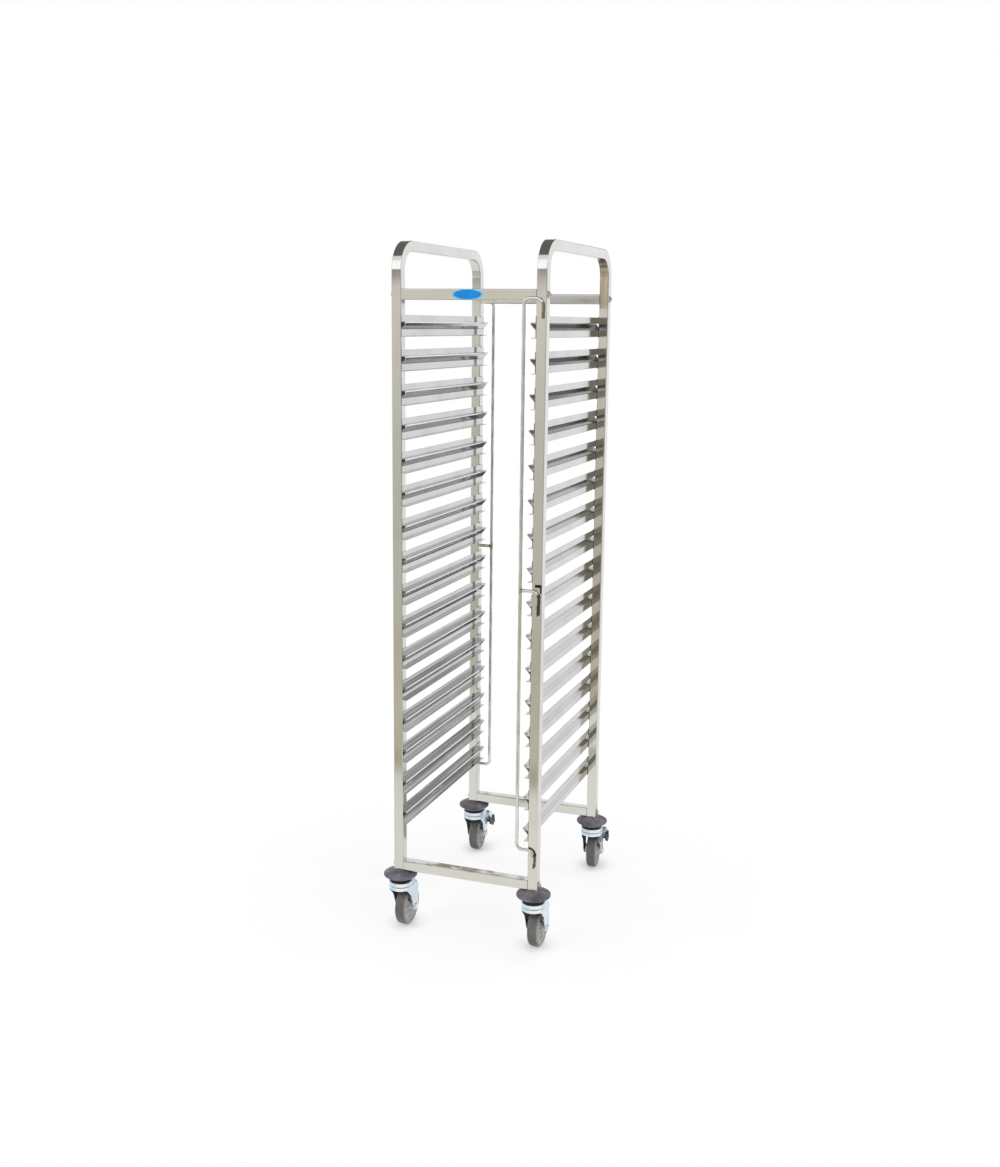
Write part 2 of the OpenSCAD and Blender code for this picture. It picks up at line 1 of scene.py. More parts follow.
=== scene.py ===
# %% [markdown]
# # A tray trolley, dressed in cells
#
# The trolley carries sixteen levels of kitchen trays. Its frame is bolted together from
# square stainless tube, with two bent handle hoops, folded sheet runners, two swinging
# rod gates and four castors with bumper discs.
#
# The CAD model already has every size and joint. This lesson loads it as a fixed frame,
# gives each material its finish, and puts finer shapes where the solids are plain.
# Everything stays in the frame's own metres, so nothing has to be fitted by eye.

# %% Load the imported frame
import math

import bmesh
import bpy
from mathutils import Matrix, Vector


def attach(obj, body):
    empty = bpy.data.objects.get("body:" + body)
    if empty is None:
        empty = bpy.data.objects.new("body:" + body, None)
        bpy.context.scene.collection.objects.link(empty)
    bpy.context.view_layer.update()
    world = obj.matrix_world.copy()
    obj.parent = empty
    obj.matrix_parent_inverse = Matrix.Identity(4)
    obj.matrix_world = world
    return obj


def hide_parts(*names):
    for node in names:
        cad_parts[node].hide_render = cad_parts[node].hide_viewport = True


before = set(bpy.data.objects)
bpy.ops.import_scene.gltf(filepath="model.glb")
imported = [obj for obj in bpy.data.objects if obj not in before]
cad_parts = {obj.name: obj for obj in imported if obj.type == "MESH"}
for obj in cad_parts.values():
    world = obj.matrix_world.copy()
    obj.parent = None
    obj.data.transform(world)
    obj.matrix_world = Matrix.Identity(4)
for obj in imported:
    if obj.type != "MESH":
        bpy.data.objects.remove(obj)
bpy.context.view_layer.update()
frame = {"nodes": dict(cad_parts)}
nodes = frame["nodes"]

# %% [markdown]
# The details that this lesson adds need a few of the sizes that the solids were drawn
# with. They are repeated here in millimetres, under the names that a maker would use,
# and turned into metres only where a mesh is written.

# %% Sizes of the frame, in millimetres
MM = 0.001
FRAME_W, FRAME_D = 380.0, 550.0
TUBE, TUBE_CORNER = 25.0, 2.5
POST_X, POST_Y = FRAME_W / 2 - TUBE / 2, FRAME_D / 2 - TUBE / 2
INNER_X = FRAME_W / 2 - TUBE
JOINT_Z, HOOP_TOP_Z = 1564.0, 1710.0
HOOP_BEND_R = 70.0
BEND_CENTRE_Y, BEND_CENTRE_Z = FRAME_D / 2 - HOOP_BEND_R, HOOP_TOP_Z - HOOP_BEND_R
LEVELS, LEVEL_PITCH, TOP_LEDGE_Z = 16, 80.0, 1524.0
UPPER_STRIP, RUNNER_FOOT, LIP = 15.0, 35.0, 11.0
LOW_BOLT_Z, TOP_BOLT_Z = 176.5, 1585.5
PLATE_HALF_W, PLATE_HALF_H = 38.0, 12.0
GATE_ARMS_Z = (1578.0, 910.0, 270.0)
GATE_WELD_X, GATE_Y = 138.0, -280.0

# %% [markdown]
# The camera stands in front of the trolley's right side, a little above the middle,
# where the converging edges of the posts in the picture put it. Its place, its turn and
# its focal length were worked out from those edges, so it needs no shift.

# %% Set the camera
FRAME_HEIGHT_PX = 1167
FOCAL_PX = 1316.0
CAMERA_AT = Vector((1.10346, -3.13475, 1.52217))


def camera_turn(azimuth, elevation, roll):
    """Rotation of a camera that looks at the trolley from these angles, in degrees."""
    a, e, r = (math.radians(angle) for angle in (azimuth, elevation, roll))
    back = Vector((math.sin(a) * math.cos(e), -math.cos(a) * math.cos(e), math.sin(e)))
    right = (-back).cross(Vector((0, 0, 1))).normalized()
    up = right.cross(-back)
    turned_right = right * math.cos(r) + up * math.sin(r)
    turned_up = up * math.cos(r) - right * math.sin(r)
    return Matrix((turned_right, turned_up, back)).transposed()


lens = bpy.data.cameras.new("camera")
lens.sensor_fit = "VERTICAL"
lens.sensor_height = 36
lens.lens = lens.sensor_height * FOCAL_PX / FRAME_HEIGHT_PX
camera = bpy.data.objects.new("camera", lens)
turn = camera_turn(azimuth=19.582, elevation=11.191, roll=0.6185)
camera.matrix_world = Matrix.Translation(CAMERA_AT) @ turn.to_4x4()
bpy.context.scene.collection.objects.link(camera)
bpy.context.scene.camera = camera
print("camera: lens %.1f mm" % lens.lens)

# %% [markdown]
# A finish is a small web of nodes. Written as plain calls such a web is hard to read, so
# two helpers turn it into sums: a `Wire` stands for one socket and knows plus, minus,
# times and so on, and `Nodes` adds a node from its type, its settings and its sockets.


# %% Wires and nodes
def rgb(red, green, blue):
    return (red, green, blue, 1.0)


class Wire:
    """An output socket of a node tree, on which sums can be written."""

    def __init__(self, nodes, socket):
        self.nodes, self.socket = nodes, socket

    def sum(self, operation, *values):
        return self.nodes.add("ShaderNodeMath", {"operation": operation}, dict(enumerate(values)))

    def __add__(self, other):
        return self.sum("ADD", self, other)

    def __radd__(self, other):
        return self.sum("ADD", other, self)

    def __sub__(self, other):
        return self.sum("SUBTRACT", self, other)

    def __rsub__(self, other):
        return self.sum("SUBTRACT", other, self)

    def __mul__(self, other):
        return self.sum("MULTIPLY", self, other)

    def __truediv__(self, other):
        return self.sum("DIVIDE", self, other)

    def __pow__(self, other):
        return self.sum("POWER", self, other)

    def __abs__(self):
        return self.sum("ABSOLUTE", self)

    def least(self, other):
        return self.sum("MINIMUM", self, other)

    def most(self, other):
        return self.sum("MAXIMUM", self, other)

    def step(self, low, high):
        """0 at low and below, 1 at high and above, and smooth between them."""
        return self.nodes.add(
            "ShaderNodeMapRange",
            {"interpolation_type": "SMOOTHSTEP"},
            {"Value": self, "From Min": low, "From Max": high},
        )

    def band(self, low, high, edge=0.0006):
        """1 between low and high, 0 outside, and smooth across both edges."""
        return self.step(low - edge, low + edge) * (1.0 - self.step(high - edge, high + edge))

    def hypot(self, other):
        return (self * self + other * other) ** 0.5


class Nodes:
    """Adds nodes to one tree, each from its type, its settings and its sockets."""

    def __init__(self, tree):
        self.tree = tree

    def pick(self, sockets, key):
        if isinstance(key, int):
            return sockets[key]
        return next((s for s in sockets if s.identifier == key), None) or sockets[key]

    def add(self, kind, settings=None, sockets=None, out=0):
        node = self.tree.nodes.new(kind)
        for key, value in (settings or {}).items():
            if key == "stops":
                self.set_stops(node.color_ramp.elements, value)
            else:
                setattr(node, key, value)
        for key, value in (sockets or {}).items():
            self.feed(self.pick(node.inputs, key), value)
        return Wire(self, self.pick(node.outputs, out)) if node.outputs else None

    def feed(self, socket, value):
        if isinstance(value, Wire):
            self.tree.links.new(value.socket, socket)
        else:
            socket.default_value = value

    def set_stops(self, elements, stops):
        while len(elements) < len(stops):
            elements.new(1)
        for element, (position, colour) in zip(elements, stops):
            element.position = position
            element.color = colour

    def mix(self, first, second, factor):
        """The colour first at factor 0, and second at factor 1."""
        return self.add(
            "ShaderNodeMix",
            {"data_type": "RGBA"},
            {"Factor_Float": factor, "A_Color": first, "B_Color": second},
            out="Result_Color",
        )

    def layered(self, colour, *layers):
        """The colour with layers over it, each a tone and the mask that it lies in."""
        for tone, mask in layers:
            colour = self.mix(colour, rgb(*tone), mask)
        return colour

    def vector(self, x, y, z):
        return self.add("ShaderNodeCombineXYZ", None, {"X": x, "Y": y, "Z": z})

    def noise(self, vector, scale=1.0, detail=2.0, roughness=0.5):
        return self.add(
            "ShaderNodeTexNoise",
            None,
            {"Vector": vector, "Scale": scale, "Detail": detail, "Roughness": roughness},
        )

    def seen_by(self, *kinds):
        """1 for rays of these kinds, and 0 for all others."""
        path = self.tree.nodes.new("ShaderNodeLightPath")
        rays = [Wire(self, path.outputs["Is %s Ray" % kind]) for kind in kinds]
        return sum(rays[1:], rays[0]).least(1.0)


# %% [markdown]
# The trolley stands in a white studio, and polished steel shows mostly what stands round
# it. The camera, mirrors and glass see white in every direction. Diffuse light from the
# same sky is kept a little lower, so that colours come out as they are written.


# %% White surroundings
def white_world(diffuse_strength):
    world = bpy.data.worlds.new("studio")
    world.use_nodes = True
    world.node_tree.nodes.clear()
    sky = Nodes(world.node_tree)
    white = rgb(1.0, 1.0, 1.0)
    dim = sky.add("ShaderNodeBackground", None, {"Color": white, "Strength": diffuse_strength})
    full = sky.add("ShaderNodeBackground", None, {"Color": white, "Strength": 1.0})
    mirrored = sky.seen_by("Camera", "Glossy", "Transmission")
    shown = sky.add("ShaderNodeMixShader", None, {0: mirrored, 1: dim, 2: full})
    sky.add("ShaderNodeOutputWorld", None, {"Surface": shown})
    return world


bpy.context.scene.world = white_world(diffuse_strength=0.55)
bpy.context.scene.view_settings.view_transform = "Standard"

# %% [markdown]
# A finish starts from one Principled shader. The numbers that are the same all over a
# surface go straight onto the shader, and `paint` takes what varies: the colour, the
# roughness, and a height for the bump.


# %% Finishes
class Finish(Nodes):
    """One material of the trolley, or of the stage round it."""

    def __init__(self, name, **constants):
        self.material = bpy.data.materials.new(name)
        self.material.use_nodes = True
        super().__init__(self.material.node_tree)
        self.tree.nodes.clear()
        self.shader = self.tree.nodes.new("ShaderNodeBsdfPrincipled")
        for key, value in constants.items():
            self.shader.inputs[key.replace("_", " ")].default_value = value
        self.output = self.tree.nodes.new("ShaderNodeOutputMaterial")
        self.tree.links.new(self.shader.outputs[0], self.output.inputs["Surface"])
        self.place = self.add("ShaderNodeTexCoord", out="Object")
        split = self.tree.nodes.new("ShaderNodeSeparateXYZ")
        self.feed(split.inputs[0], self.place)
        self.x, self.y, self.z = (Wire(self, socket) for socket in split.outputs)

    def mark(self, name):
        """The numbers that a mesh carries under this name, and 0 where it has none."""
        return self.add("ShaderNodeAttribute", {"attribute_name": name}, out="Fac")

    def paint(self, colour, roughness, height=None, distance=0.0001, strength=0.5):
        self.feed(self.shader.inputs["Base Color"], colour)
        self.feed(self.shader.inputs["Roughness"], roughness)
        if height is not None:
            bump = self.add(
                "ShaderNodeBump",
                None,
                {"Height": height, "Distance": distance, "Strength": strength},
                out="Normal",
            )
            self.feed(self.shader.inputs["Normal"], bump)
        return self.material


# %% [markdown]
# Cold-drawn stainless tube is polished along its length. Fine lines run with the tube,
# and the sheen between them drifts slowly. Some tube also has a straw tint, brown
# streaks of painted reflection, dark painted reflections of nearby rods, or painted
# shade with brown stains.


# %% Polished tube
def tube_steel(steel, across_a, across_b, along, reflected_streaks=None, straw=None, painted_shade_and_stains=()):
    lines = steel.noise(steel.vector(across_a * 1500, across_b * 1500, along * 14), detail=3)
    streaks = steel.noise(steel.vector(across_a * 260, across_b * 260, along * 3), detail=2)
    drift = steel.noise(steel.place, scale=7.0, detail=3.0, roughness=0.6)
    colour = steel.mix(
        rgb(0.665, 0.660, 0.650), rgb(0.615, 0.605, 0.590), drift.step(0.35, 0.75)
    )
    roughness = 0.045 + streaks * 0.09 + drift * 0.03
    if straw is not None:
        grain = steel.noise(steel.vector(across_a * 420, across_b * 420, along * 5), detail=2)
        gold = steel.mix(rgb(0.66, 0.57, 0.40), rgb(0.30, 0.25, 0.17), grain.step(0.35, 0.65))
        colour = steel.mix(colour, gold, straw)
        roughness = roughness + straw * 0.14
    colour = steel.layered(colour, *painted_shade_and_stains)
    # Brown streaks of painted reflection.
    if reflected_streaks is not None:
        marks = steel.noise(steel.vector(steel.x * 34, steel.y * 60, steel.z * 60), detail=4)
        mask = marks.step(0.52, 0.68) * reflected_streaks
        colour = steel.layered(colour, ((0.30, 0.24, 0.17), mask * 0.75))
        roughness = roughness + mask * 0.15
    height = lines * 0.6 + streaks * 0.4
    return steel.paint(colour, roughness, height, distance=0.00003, strength=0.3)


# %% [markdown]
# The lines follow the bent handles: they are measured from the bend's centre, so they
# turn with the tube. The right hoop has a straw tint towards its rear. The front right
# post gets dark painted reflections above the bends of its gate's middle and lowest arm,
# and its straps get painted shade and brown stains below each hinge.

# %% Upright tube
upright = Finish("tube_steel_upright", Metallic=1.0)
past_y = (abs(upright.y) - BEND_CENTRE_Y * MM).most(0.0)
past_z = (upright.z - BEND_CENTRE_Z * MM).most(0.0)
straw_tint = upright.z.step(1.560, 1.566) * upright.y.step(0.17, 0.25)
straw_tint = straw_tint * upright.x.step(0, 0.1) * (1.0 - upright.x.step(0.1855, 0.1895))

# Below each gate arm, painted shade with brown stain darkens the hinge pin and its strap.
HINGE_SHADE_FROM, HINGE_SHADE_TO = 0.007, 0.080
HINGE_SHADE_AND_STAIN_TONES = ((0.30, 0.25, 0.17), (0.085, 0.080, 0.058), (0.15, 0.095, 0.072))


def hinge_shade_and_stains(height):
    """For each gate arm, a tone of painted shade with brown stain, and a mask of the heights below
    it.
    """
    return [
        (tone, height.band(arm * MM - HINGE_SHADE_TO, arm * MM - HINGE_SHADE_FROM, edge=0.002))
        for arm, tone in zip(GATE_ARMS_Z, HINGE_SHADE_AND_STAIN_TONES)
    ]


on_front = 1.0 - upright.y.step(-0.2748, -0.2742)
on_strap = (1.0 - upright.y.step(-0.2772, -0.2765)) * upright.x.band(0.1826, 0.1866)
# Painted reflections of the gate arms: a dark L above the middle arm, an arc above the lowest.
arm_reflection_level = upright.x.band(0.1725, 0.1898) * upright.z.band(0.9184, 0.9254)
arm_reflection_upright = upright.x.band(0.1852, 0.1900) * upright.z.band(0.9050, 0.9240)
arm_reflection_corner = arm_reflection_level.most(arm_reflection_upright)
bend_x, bend_z = upright.x - 0.167, upright.z - 0.257
bend_reflection_round = bend_x.hypot(bend_z).band(0.0150, 0.0195)
bend_reflection_round = bend_reflection_round * bend_x.step(-0.004, 0.001) * bend_z.step(-0.006, 0.0)
steel_upright = tube_steel(
    upright,
    upright.x,
    past_y.hypot(past_z),
    upright.z - abs(upright.y),
    straw=straw_tint * 0.85,
    # A straw tint, then the painted arm reflections and painted shade with stains by the hinges.
    painted_shade_and_stains=[
        ((0.024, 0.025, 0.014), arm_reflection_corner * on_front),
        ((0.13, 0.085, 0.065), bend_reflection_round * on_front * 0.85),
        *[(tone, below * on_strap) for tone, below in hinge_shade_and_stains(upright.z)],
    ],
)

# %% [markdown]
# On the rails the same lines run from side to side, and the bottom rails get brown
# streaks of painted reflection on top.

# %% Cross tube
cross = Finish("tube_steel_cross", Metallic=1.0)
# The bottom rails' tops get brown streaks of painted reflection.
on_top = cross.z.step(0.1855, 0.1885) * (1.0 - cross.z.step(0.30, 0.31))
steel_cross = tube_steel(cross, cross.y, cross.z, cross.x, reflected_streaks=on_top)

# %% [markdown]
# The runners are folded from bright rolled sheet. It is cooler in colour than the tube
# and has only faint rolling lines along the fold, so it mirrors the posts softly. Marks
# on its faces say where it was cut. Painted shade darkens the channel under each nose,
# its fold and part of the ledge, much less low on the right; the nose has a painted
# highlight, and painted reflections darken the right runners by the rear post and the
# lower left runners in streaks.

# %% Rolled sheet of the runners
sheet = Finish("runner_sheet", Metallic=1.0)
rolling = sheet.noise(sheet.vector(sheet.x * 900, sheet.y * 9, sheet.z * 900), detail=2)
ripple = sheet.noise(sheet.vector(sheet.x * 25, sheet.y * 9, sheet.z * 25), detail=1)
strands = sheet.noise(sheet.vector(sheet.x * 170, sheet.y * 1.5, sheet.z * 170), detail=1)
haze = sheet.noise(sheet.place, scale=11.0, detail=3.0)
cut, channel = sheet.mark("cut"), sheet.mark("channel")
# Painted shade in the channel and its fold.
in_channel, in_fold = channel.least(1.0).most(0.0), (channel - 1.0).most(0.0)
# A painted highlight on the nose.
on_nose = (channel * -1.0).most(0.0)
on_right, on_left = sheet.x.step(0.0, 0.1), 1.0 - sheet.x.step(-0.1, 0.0)
# The channel's painted shade is much weaker on the lower right runners.
seen_dark = 1.0 - on_right * (1.0 - sheet.z.step(0.85, 1.40)) * 0.85
# Darker streaks of painted reflection on the lower left runners.
low_left = (1.0 - sheet.z.step(0.55, 1.05)) * on_left
# A painted reflection of the rear post on the right runners.
by_post = on_right * sheet.y.band(0.145, 0.30, edge=0.045)
sheet_colour = sheet.layered(
    sheet.mix(rgb(0.58, 0.58, 0.58), rgb(0.53, 0.53, 0.53), haze.step(0.4, 0.7)),
    ((0.24, 0.24, 0.25), in_channel * seen_dark),
    ((0.26, 0.25, 0.24), strands.step(0.47, 0.55) * low_left * 0.7),
    ((0.86, 0.86, 0.86), on_nose),
    ((0.36, 0.34, 0.27), by_post * ripple.step(0.35, 0.6) * 0.45),
    ((0.07, 0.07, 0.07), in_fold * seen_dark),
    ((0.36, 0.35, 0.33), cut),
)
steel_sheet = sheet.paint(
    sheet_colour,
    0.05 + rolling * 0.05 + haze * 0.04 + cut * 0.3 + in_channel * 0.06,
    rolling * 0.1 + ripple,
    distance=0.0002,
    strength=0.3,
)

# %% [markdown]
# The gates are bent from bright drawn rod. Drawing leaves fine lines along the rod and
# slow changes of sheen. Near its welds the rod keeps a straw-brown tint from the heat,
# and the outer side of each hinge pin gets painted shade with brown stain.

# %% Drawn rod of the gates
rod = Finish("drawn_rod", Metallic=1.0)
drawn = rod.noise(rod.vector(rod.x * 1400, rod.y * 1400, rod.z * 20), detail=2)
mottle = rod.noise(rod.place, scale=26.0, detail=3.0)
to_weld = abs(rod.z - GATE_ARMS_Z[1] * MM) + (abs(rod.x) - GATE_WELD_X * MM).most(0.0)
heat = (1.0 - to_weld.step(0.002, 0.016)) * mottle.step(0.25, 0.6)
outer_side = abs(rod.x).step(0.1798, 0.1810)
# The hinge pins' outer sides get painted shade with brown stain; the weld keeps a heat tint.
rod_colour = rod.layered(
    rod.mix(rgb(0.72, 0.74, 0.73), rgb(0.58, 0.60, 0.58), mottle.step(0.35, 0.7)),
    *[(tone, below * outer_side) for tone, below in hinge_shade_and_stains(rod.z)],
    ((0.40, 0.28, 0.16), heat),
)
steel_rod = rod.paint(rod_colour, 0.07 + mottle * 0.08, drawn, distance=0.00003, strength=0.4)

# %% [markdown]
# The castors are pressed from steel and plated with bright zinc. The plating is bluish
# and almost white, with a faint rainbow cast and small pores where it has dulled. It gets
# painted shade inside the fork, on the left leg's edge and in the crown's groove, and a
# painted highlight on the crown's skirt, the right leg's edge and the axle.

# %% Bright zinc
zinc = Finish("bright_zinc", Metallic=0.65)
cast = zinc.noise(zinc.place, scale=38.0, detail=2.0)
pores = zinc.noise(zinc.place, scale=900.0, detail=3.0, roughness=0.7)
# Painted shade inside the fork and on the left leg's edge.
inside, rim = zinc.mark("inside"), zinc.mark("rim")
# A painted highlight on the skirt, leg edge and axle; painted shade in the groove.
rim_highlight, groove_shade = rim.most(0.0), (rim * -1.0).most(0.0)
zinc_colour = zinc.layered(
    zinc.mix(rgb(0.66, 0.80, 0.90), rgb(0.58, 0.72, 0.84), cast.step(0.35, 0.65)),
    ((0.78, 0.81, 0.92), cast.step(0.58, 0.80) * 0.7),
    ((0.88, 0.92, 0.95), rim_highlight),
    ((0.36, 0.46, 0.50), groove_shade),
    ((0.025, 0.026, 0.030), inside),
)
zinc_plate = zinc.paint(
    zinc_colour,
    0.12 + pores * 0.10 + cast * 0.06 + inside * 0.3 + rim_highlight * 0.25,
    pores,
    distance=0.00006,
    strength=0.25,
)

# %% [markdown]
# The frame's bolts and washers are turned from plain steel, duller and darker than the
# tube, with fine rings left by the tool and the wear of a key.

# %% Bolt steel
screw = Finish("bolt_steel", Metallic=1.0)
turned_marks = screw.noise(screw.place, scale=500.0, detail=3.0)
bolt_tone = screw.mix(rgb(0.56, 0.55, 0.53), rgb(0.42, 0.41, 0.39), turned_marks.step(0.4, 0.7))
bolt_steel = screw.paint(
    bolt_tone, 0.22 + turned_marks * 0.15, turned_marks, distance=0.00006, strength=0.3
)

# %% [markdown]
# Five dull materials keep the trolley quiet and clean: the bumper's soft rubber, the
# tyre's non-marking rubber, the moulded wheel centre, the hard foot pad, and the white
# plugs inside the tubes. Each has its own grain. The bumper also gets painted highlight
# specks on top, painted shade on its neck and, at the rear, a painted highlight ring, and
# the tyre gets paler walls.


# %% Rubber and moulded plastic
def moulded(name, light, dark, grain, rough, depth, marks=None, **constants):
    """Dull moulded material: two tones in soft patches over a fine grain."""
    material = Finish(name, **constants)
    patches = material.noise(material.place, scale=30.0, detail=4.0, roughness=0.6)
    pits = material.noise(material.place, scale=grain, detail=3.0, roughness=0.65)
    colour = material.mix(rgb(*light), rgb(*dark), patches.step(0.3, 0.7))
    colour = material.layered(colour, (dark, pits.step(0.55, 0.8) * 0.5))
    if marks:
        colour = material.layered(colour, *marks(material))
    roughness = rough + patches * 0.12 + pits * 0.08
    return material.paint(colour, roughness, pits, distance=depth, strength=0.5)


def bumper_marks(rubber):
    # Painted highlight specks on the top.
    highlight_specks = rubber.noise(rubber.place, scale=75.0, detail=4.0).step(0.5, 0.75)
    # A painted highlight ring at the neck's top, only on the rear discs.
    ring = rubber.z.band(0.1388, 0.1400) * rubber.y.step(0.0, 0.1)
    return [
        ((0.25, 0.24, 0.26), highlight_specks * rubber.z.step(0.150, 0.160) * 0.5),
        # Painted shade on the neck below the disc.
        ((0.006, 0.007, 0.014), 1.0 - rubber.z.step(0.1400, 0.1420)),
        ((0.50, 0.50, 0.56), ring * 0.6),
    ]


def tyre_marks(rubber):
    return [((0.37, 0.36, 0.355), rubber.mark("wall") * 0.85)]


bumper_rubber = moulded(
    "bumper_rubber", (0.195, 0.188, 0.212), (0.072, 0.068, 0.082), 1300.0, 0.20, 0.0001,
    bumper_marks, Specular_IOR_Level=0.2,
)
tyre_rubber = moulded(
    "tyre_rubber", (0.165, 0.157, 0.150), (0.115, 0.110, 0.106), 1100.0, 0.50, 0.00015,
    tyre_marks,
)
hub_plastic = moulded(
    "wheel_centre", (0.58, 0.58, 0.57), (0.48, 0.48, 0.47), 1600.0, 0.38, 0.00008
)
pad_plastic = moulded(
    "foot_pad", (0.030, 0.034, 0.042), (0.018, 0.020, 0.026), 1500.0, 0.42, 0.0001
)
nut_plastic = moulded(
    "joint_block", (0.74, 0.74, 0.70), (0.66, 0.66, 0.61), 1300.0, 0.40, 0.00008
)

# %% [markdown]
# The oval plate on the top rail stays bare. It is enamelled blue under a clear coat, and
# its raised rim is paler. The coat has the slight orange skin that fired enamel has.

# %% Blue enamel
enamel = Finish("blue_enamel", Coat_Weight=0.04, Coat_Roughness=0.08, Specular_IOR_Level=0.25)
skin = enamel.noise(enamel.place, scale=420.0, detail=2.0)
depth_of_blue = enamel.noise(enamel.place, scale=60.0, detail=3.0).step(0.3, 0.7)
plate_x = enamel.x / (PLATE_HALF_W * MM)
plate_z = (enamel.z - TOP_BOLT_Z * MM) / (PLATE_HALF_H * MM)
blue = enamel.layered(
    enamel.mix(rgb(0.002, 0.250, 0.700), rgb(0.001, 0.215, 0.640), depth_of_blue),
    ((0.12, 0.56, 0.86), plate_x.hypot(plate_z).step(0.84, 0.92)),
)
blue_plate = enamel.paint(blue, 0.28 + skin * 0.1, skin, distance=0.00008, strength=0.3)

# %% [markdown]
# Each CAD node names the material slot that it is made of. The finishes take over those
# slots by name. The tube has two, because its polishing lines run up the posts and
# across the rails.

# %% Give the nodes their finishes
FINISHES = {
    "stainless": steel_upright,
    "runner_steel": steel_sheet,
    "gate_steel": steel_rod,
    "zinc": zinc_plate,
    "nut_white": nut_plastic,
    "plate_blue": blue_plate,
    "bumper_grey": bumper_rubber,
    "hub_grey": hub_plastic,
    "tyre_grey": tyre_rubber,
    "pad_grey": pad_plastic,
}
for name, node in nodes.items():
    for place in node.material_slots:
        place.material = FINISHES[place.material.name]
        if "_rail_" in name:
            place.material = steel_cross
print("finishes on", len(nodes), "nodes")

# %% [markdown]
# The floor is a pale sheet that keeps the trolley's shadow near the wheels and fades
# into the white surroundings further out. Only what the camera or a mirror sees of it
# fades, so the light that it throws back up stays natural.


# %% Floor
def flat_sheet(name, corners, material):
    mesh = bpy.data.meshes.new(name)
    mesh.from_pydata(corners, [], [range(len(corners))])
    mesh.materials.append(material)
    made = bpy.data.objects.new(name, mesh)
    bpy.context.scene.collection.objects.link(made)
    return made


def pale_floor():
    pale = Finish("pale_floor", Roughness=0.9)
    tone = pale.noise(pale.place, scale=3.0, detail=2.0)
    pale.paint(pale.mix(rgb(0.93, 0.93, 0.945), rgb(0.91, 0.91, 0.93), tone), 0.9)
    wheel_out, wheel_along, wheel_back = 0.177, 0.2625, 0.038
    to_wheel = (abs(pale.x) - wheel_out).hypot(abs(pale.y - wheel_back) - wheel_along)
    by_wheel = 1.0 - to_wheel.step(0.012, 0.070)
    fade = pale.x.hypot(pale.y).step(0.40, 0.95) * 0.20 + 0.80 - by_wheel * 0.45
    fade = fade * pale.seen_by("Camera", "Glossy")
    white = pale.add("ShaderNodeEmission", None, {"Color": rgb(1, 1, 1), "Strength": 1.0})
    shown = pale.add(
        "ShaderNodeMixShader", None, {0: fade, 1: Wire(pale, pale.shader.outputs[0]), 2: white}
    )
    pale.feed(pale.output.inputs["Surface"], shown)
    return pale.material


FLOOR_HALF = 6.0
FLOOR_CORNERS = ((-1, -1), (1, -1), (1, 1), (-1, 1))
flat_sheet("floor", [(x * FLOOR_HALF, y * FLOOR_HALF, 0) for x, y in FLOOR_CORNERS], pale_floor())

# %% [markdown]
# A studio is not white in front of the product: there stand the warm wall and the
# floor that the photographer works on, and the posts' fronts mirror them. Cards do the
# same here. Only mirrors see them, so they neither light the trolley nor hide it.


# %% Cards that the steel mirrors
def card(name, corners, colours, axis="z", span=(0.0, 1.0)):
    """A glowing card: its colours run from one end of span to the other, along axis."""
    glow = Finish(name)
    share = (getattr(glow, axis) - span[0]) / (span[1] - span[0])
    grain = glow.noise(glow.place, scale=1.6, detail=2.0) * 0.04 - 0.02
    stops = [(at, rgb(*tone)) for at, tone in colours]
    ramp = glow.add("ShaderNodeValToRGB", {"stops": stops}, {"Fac": share + grain}, out="Color")
    light = glow.add("ShaderNodeEmission", None, {"Color": ramp, "Strength": 1.0})
    glow.feed(glow.output.inputs["Surface"], light)
    made = flat_sheet(name, corners, glow.material)
    for kind in ("camera", "diffuse", "shadow", "transmission"):
        setattr(made, "visible_" + kind, False)
    print("card:", name)


def upright_card(name, left, right, low, high, colours):
    """A card that stands on its lower edge, from left (x, y) to right (x, y)."""
    corners = [(*left, low), (*right, low), (*right, high), (*left, high)]
    card(name, corners, colours, span=(low, high))


def level_card(name, height, outline, span, colours):
    """A card that lies level at a height. Its colours run from front to back."""
    card(name, [(x, y, height) for x, y in outline], colours, axis="y", span=span)


WALL_Y, WALL_TOP, BAY_X = -2.2, 1.83, (0.5, 1.7)
WARM_WALL = [
    (0.000, (0.66, 0.63, 0.51)),
    (0.120, (0.64, 0.62, 0.51)),
    (0.260, (0.67, 0.66, 0.56)),
    (0.600, (0.70, 0.69, 0.60)),
    (0.880, (0.90, 0.87, 0.77)),
    (0.922, (0.92, 0.88, 0.78)),
    (0.934, (0.13, 0.13, 0.13)),
    (0.955, (0.24, 0.24, 0.23)),
    (1.000, (0.70, 0.70, 0.69)),
]
upright_card("warm_wall_left", (-3.6, WALL_Y), (BAY_X[0], WALL_Y), 0.0, WALL_TOP, WARM_WALL)
upright_card("warm_wall_right", (BAY_X[1], WALL_Y), (3.0, WALL_Y), 0.0, WALL_TOP, WARM_WALL)
upright_card(
    "brown_bay",
    (BAY_X[0], WALL_Y),
    (BAY_X[1], WALL_Y),
    0.0,
    WALL_TOP,
    [
        (0.00, (0.50, 0.47, 0.37)),
        (0.20, (0.34, 0.31, 0.22)),
        (0.36, (0.50, 0.47, 0.37)),
        (0.50, (0.28, 0.25, 0.18)),
        (0.64, (0.48, 0.46, 0.38)),
        (0.76, (0.24, 0.22, 0.17)),
        (0.88, (0.42, 0.40, 0.34)),
        (1.00, (0.24, 0.23, 0.19)),
    ],
)
upright_card(
    "soft_box", (-3.2, WALL_Y), (1.7, WALL_Y), 1.86, 3.3,
    [(0.0, (1.5, 1.5, 1.46)), (1.0, (1.4, 1.4, 1.4))],
)
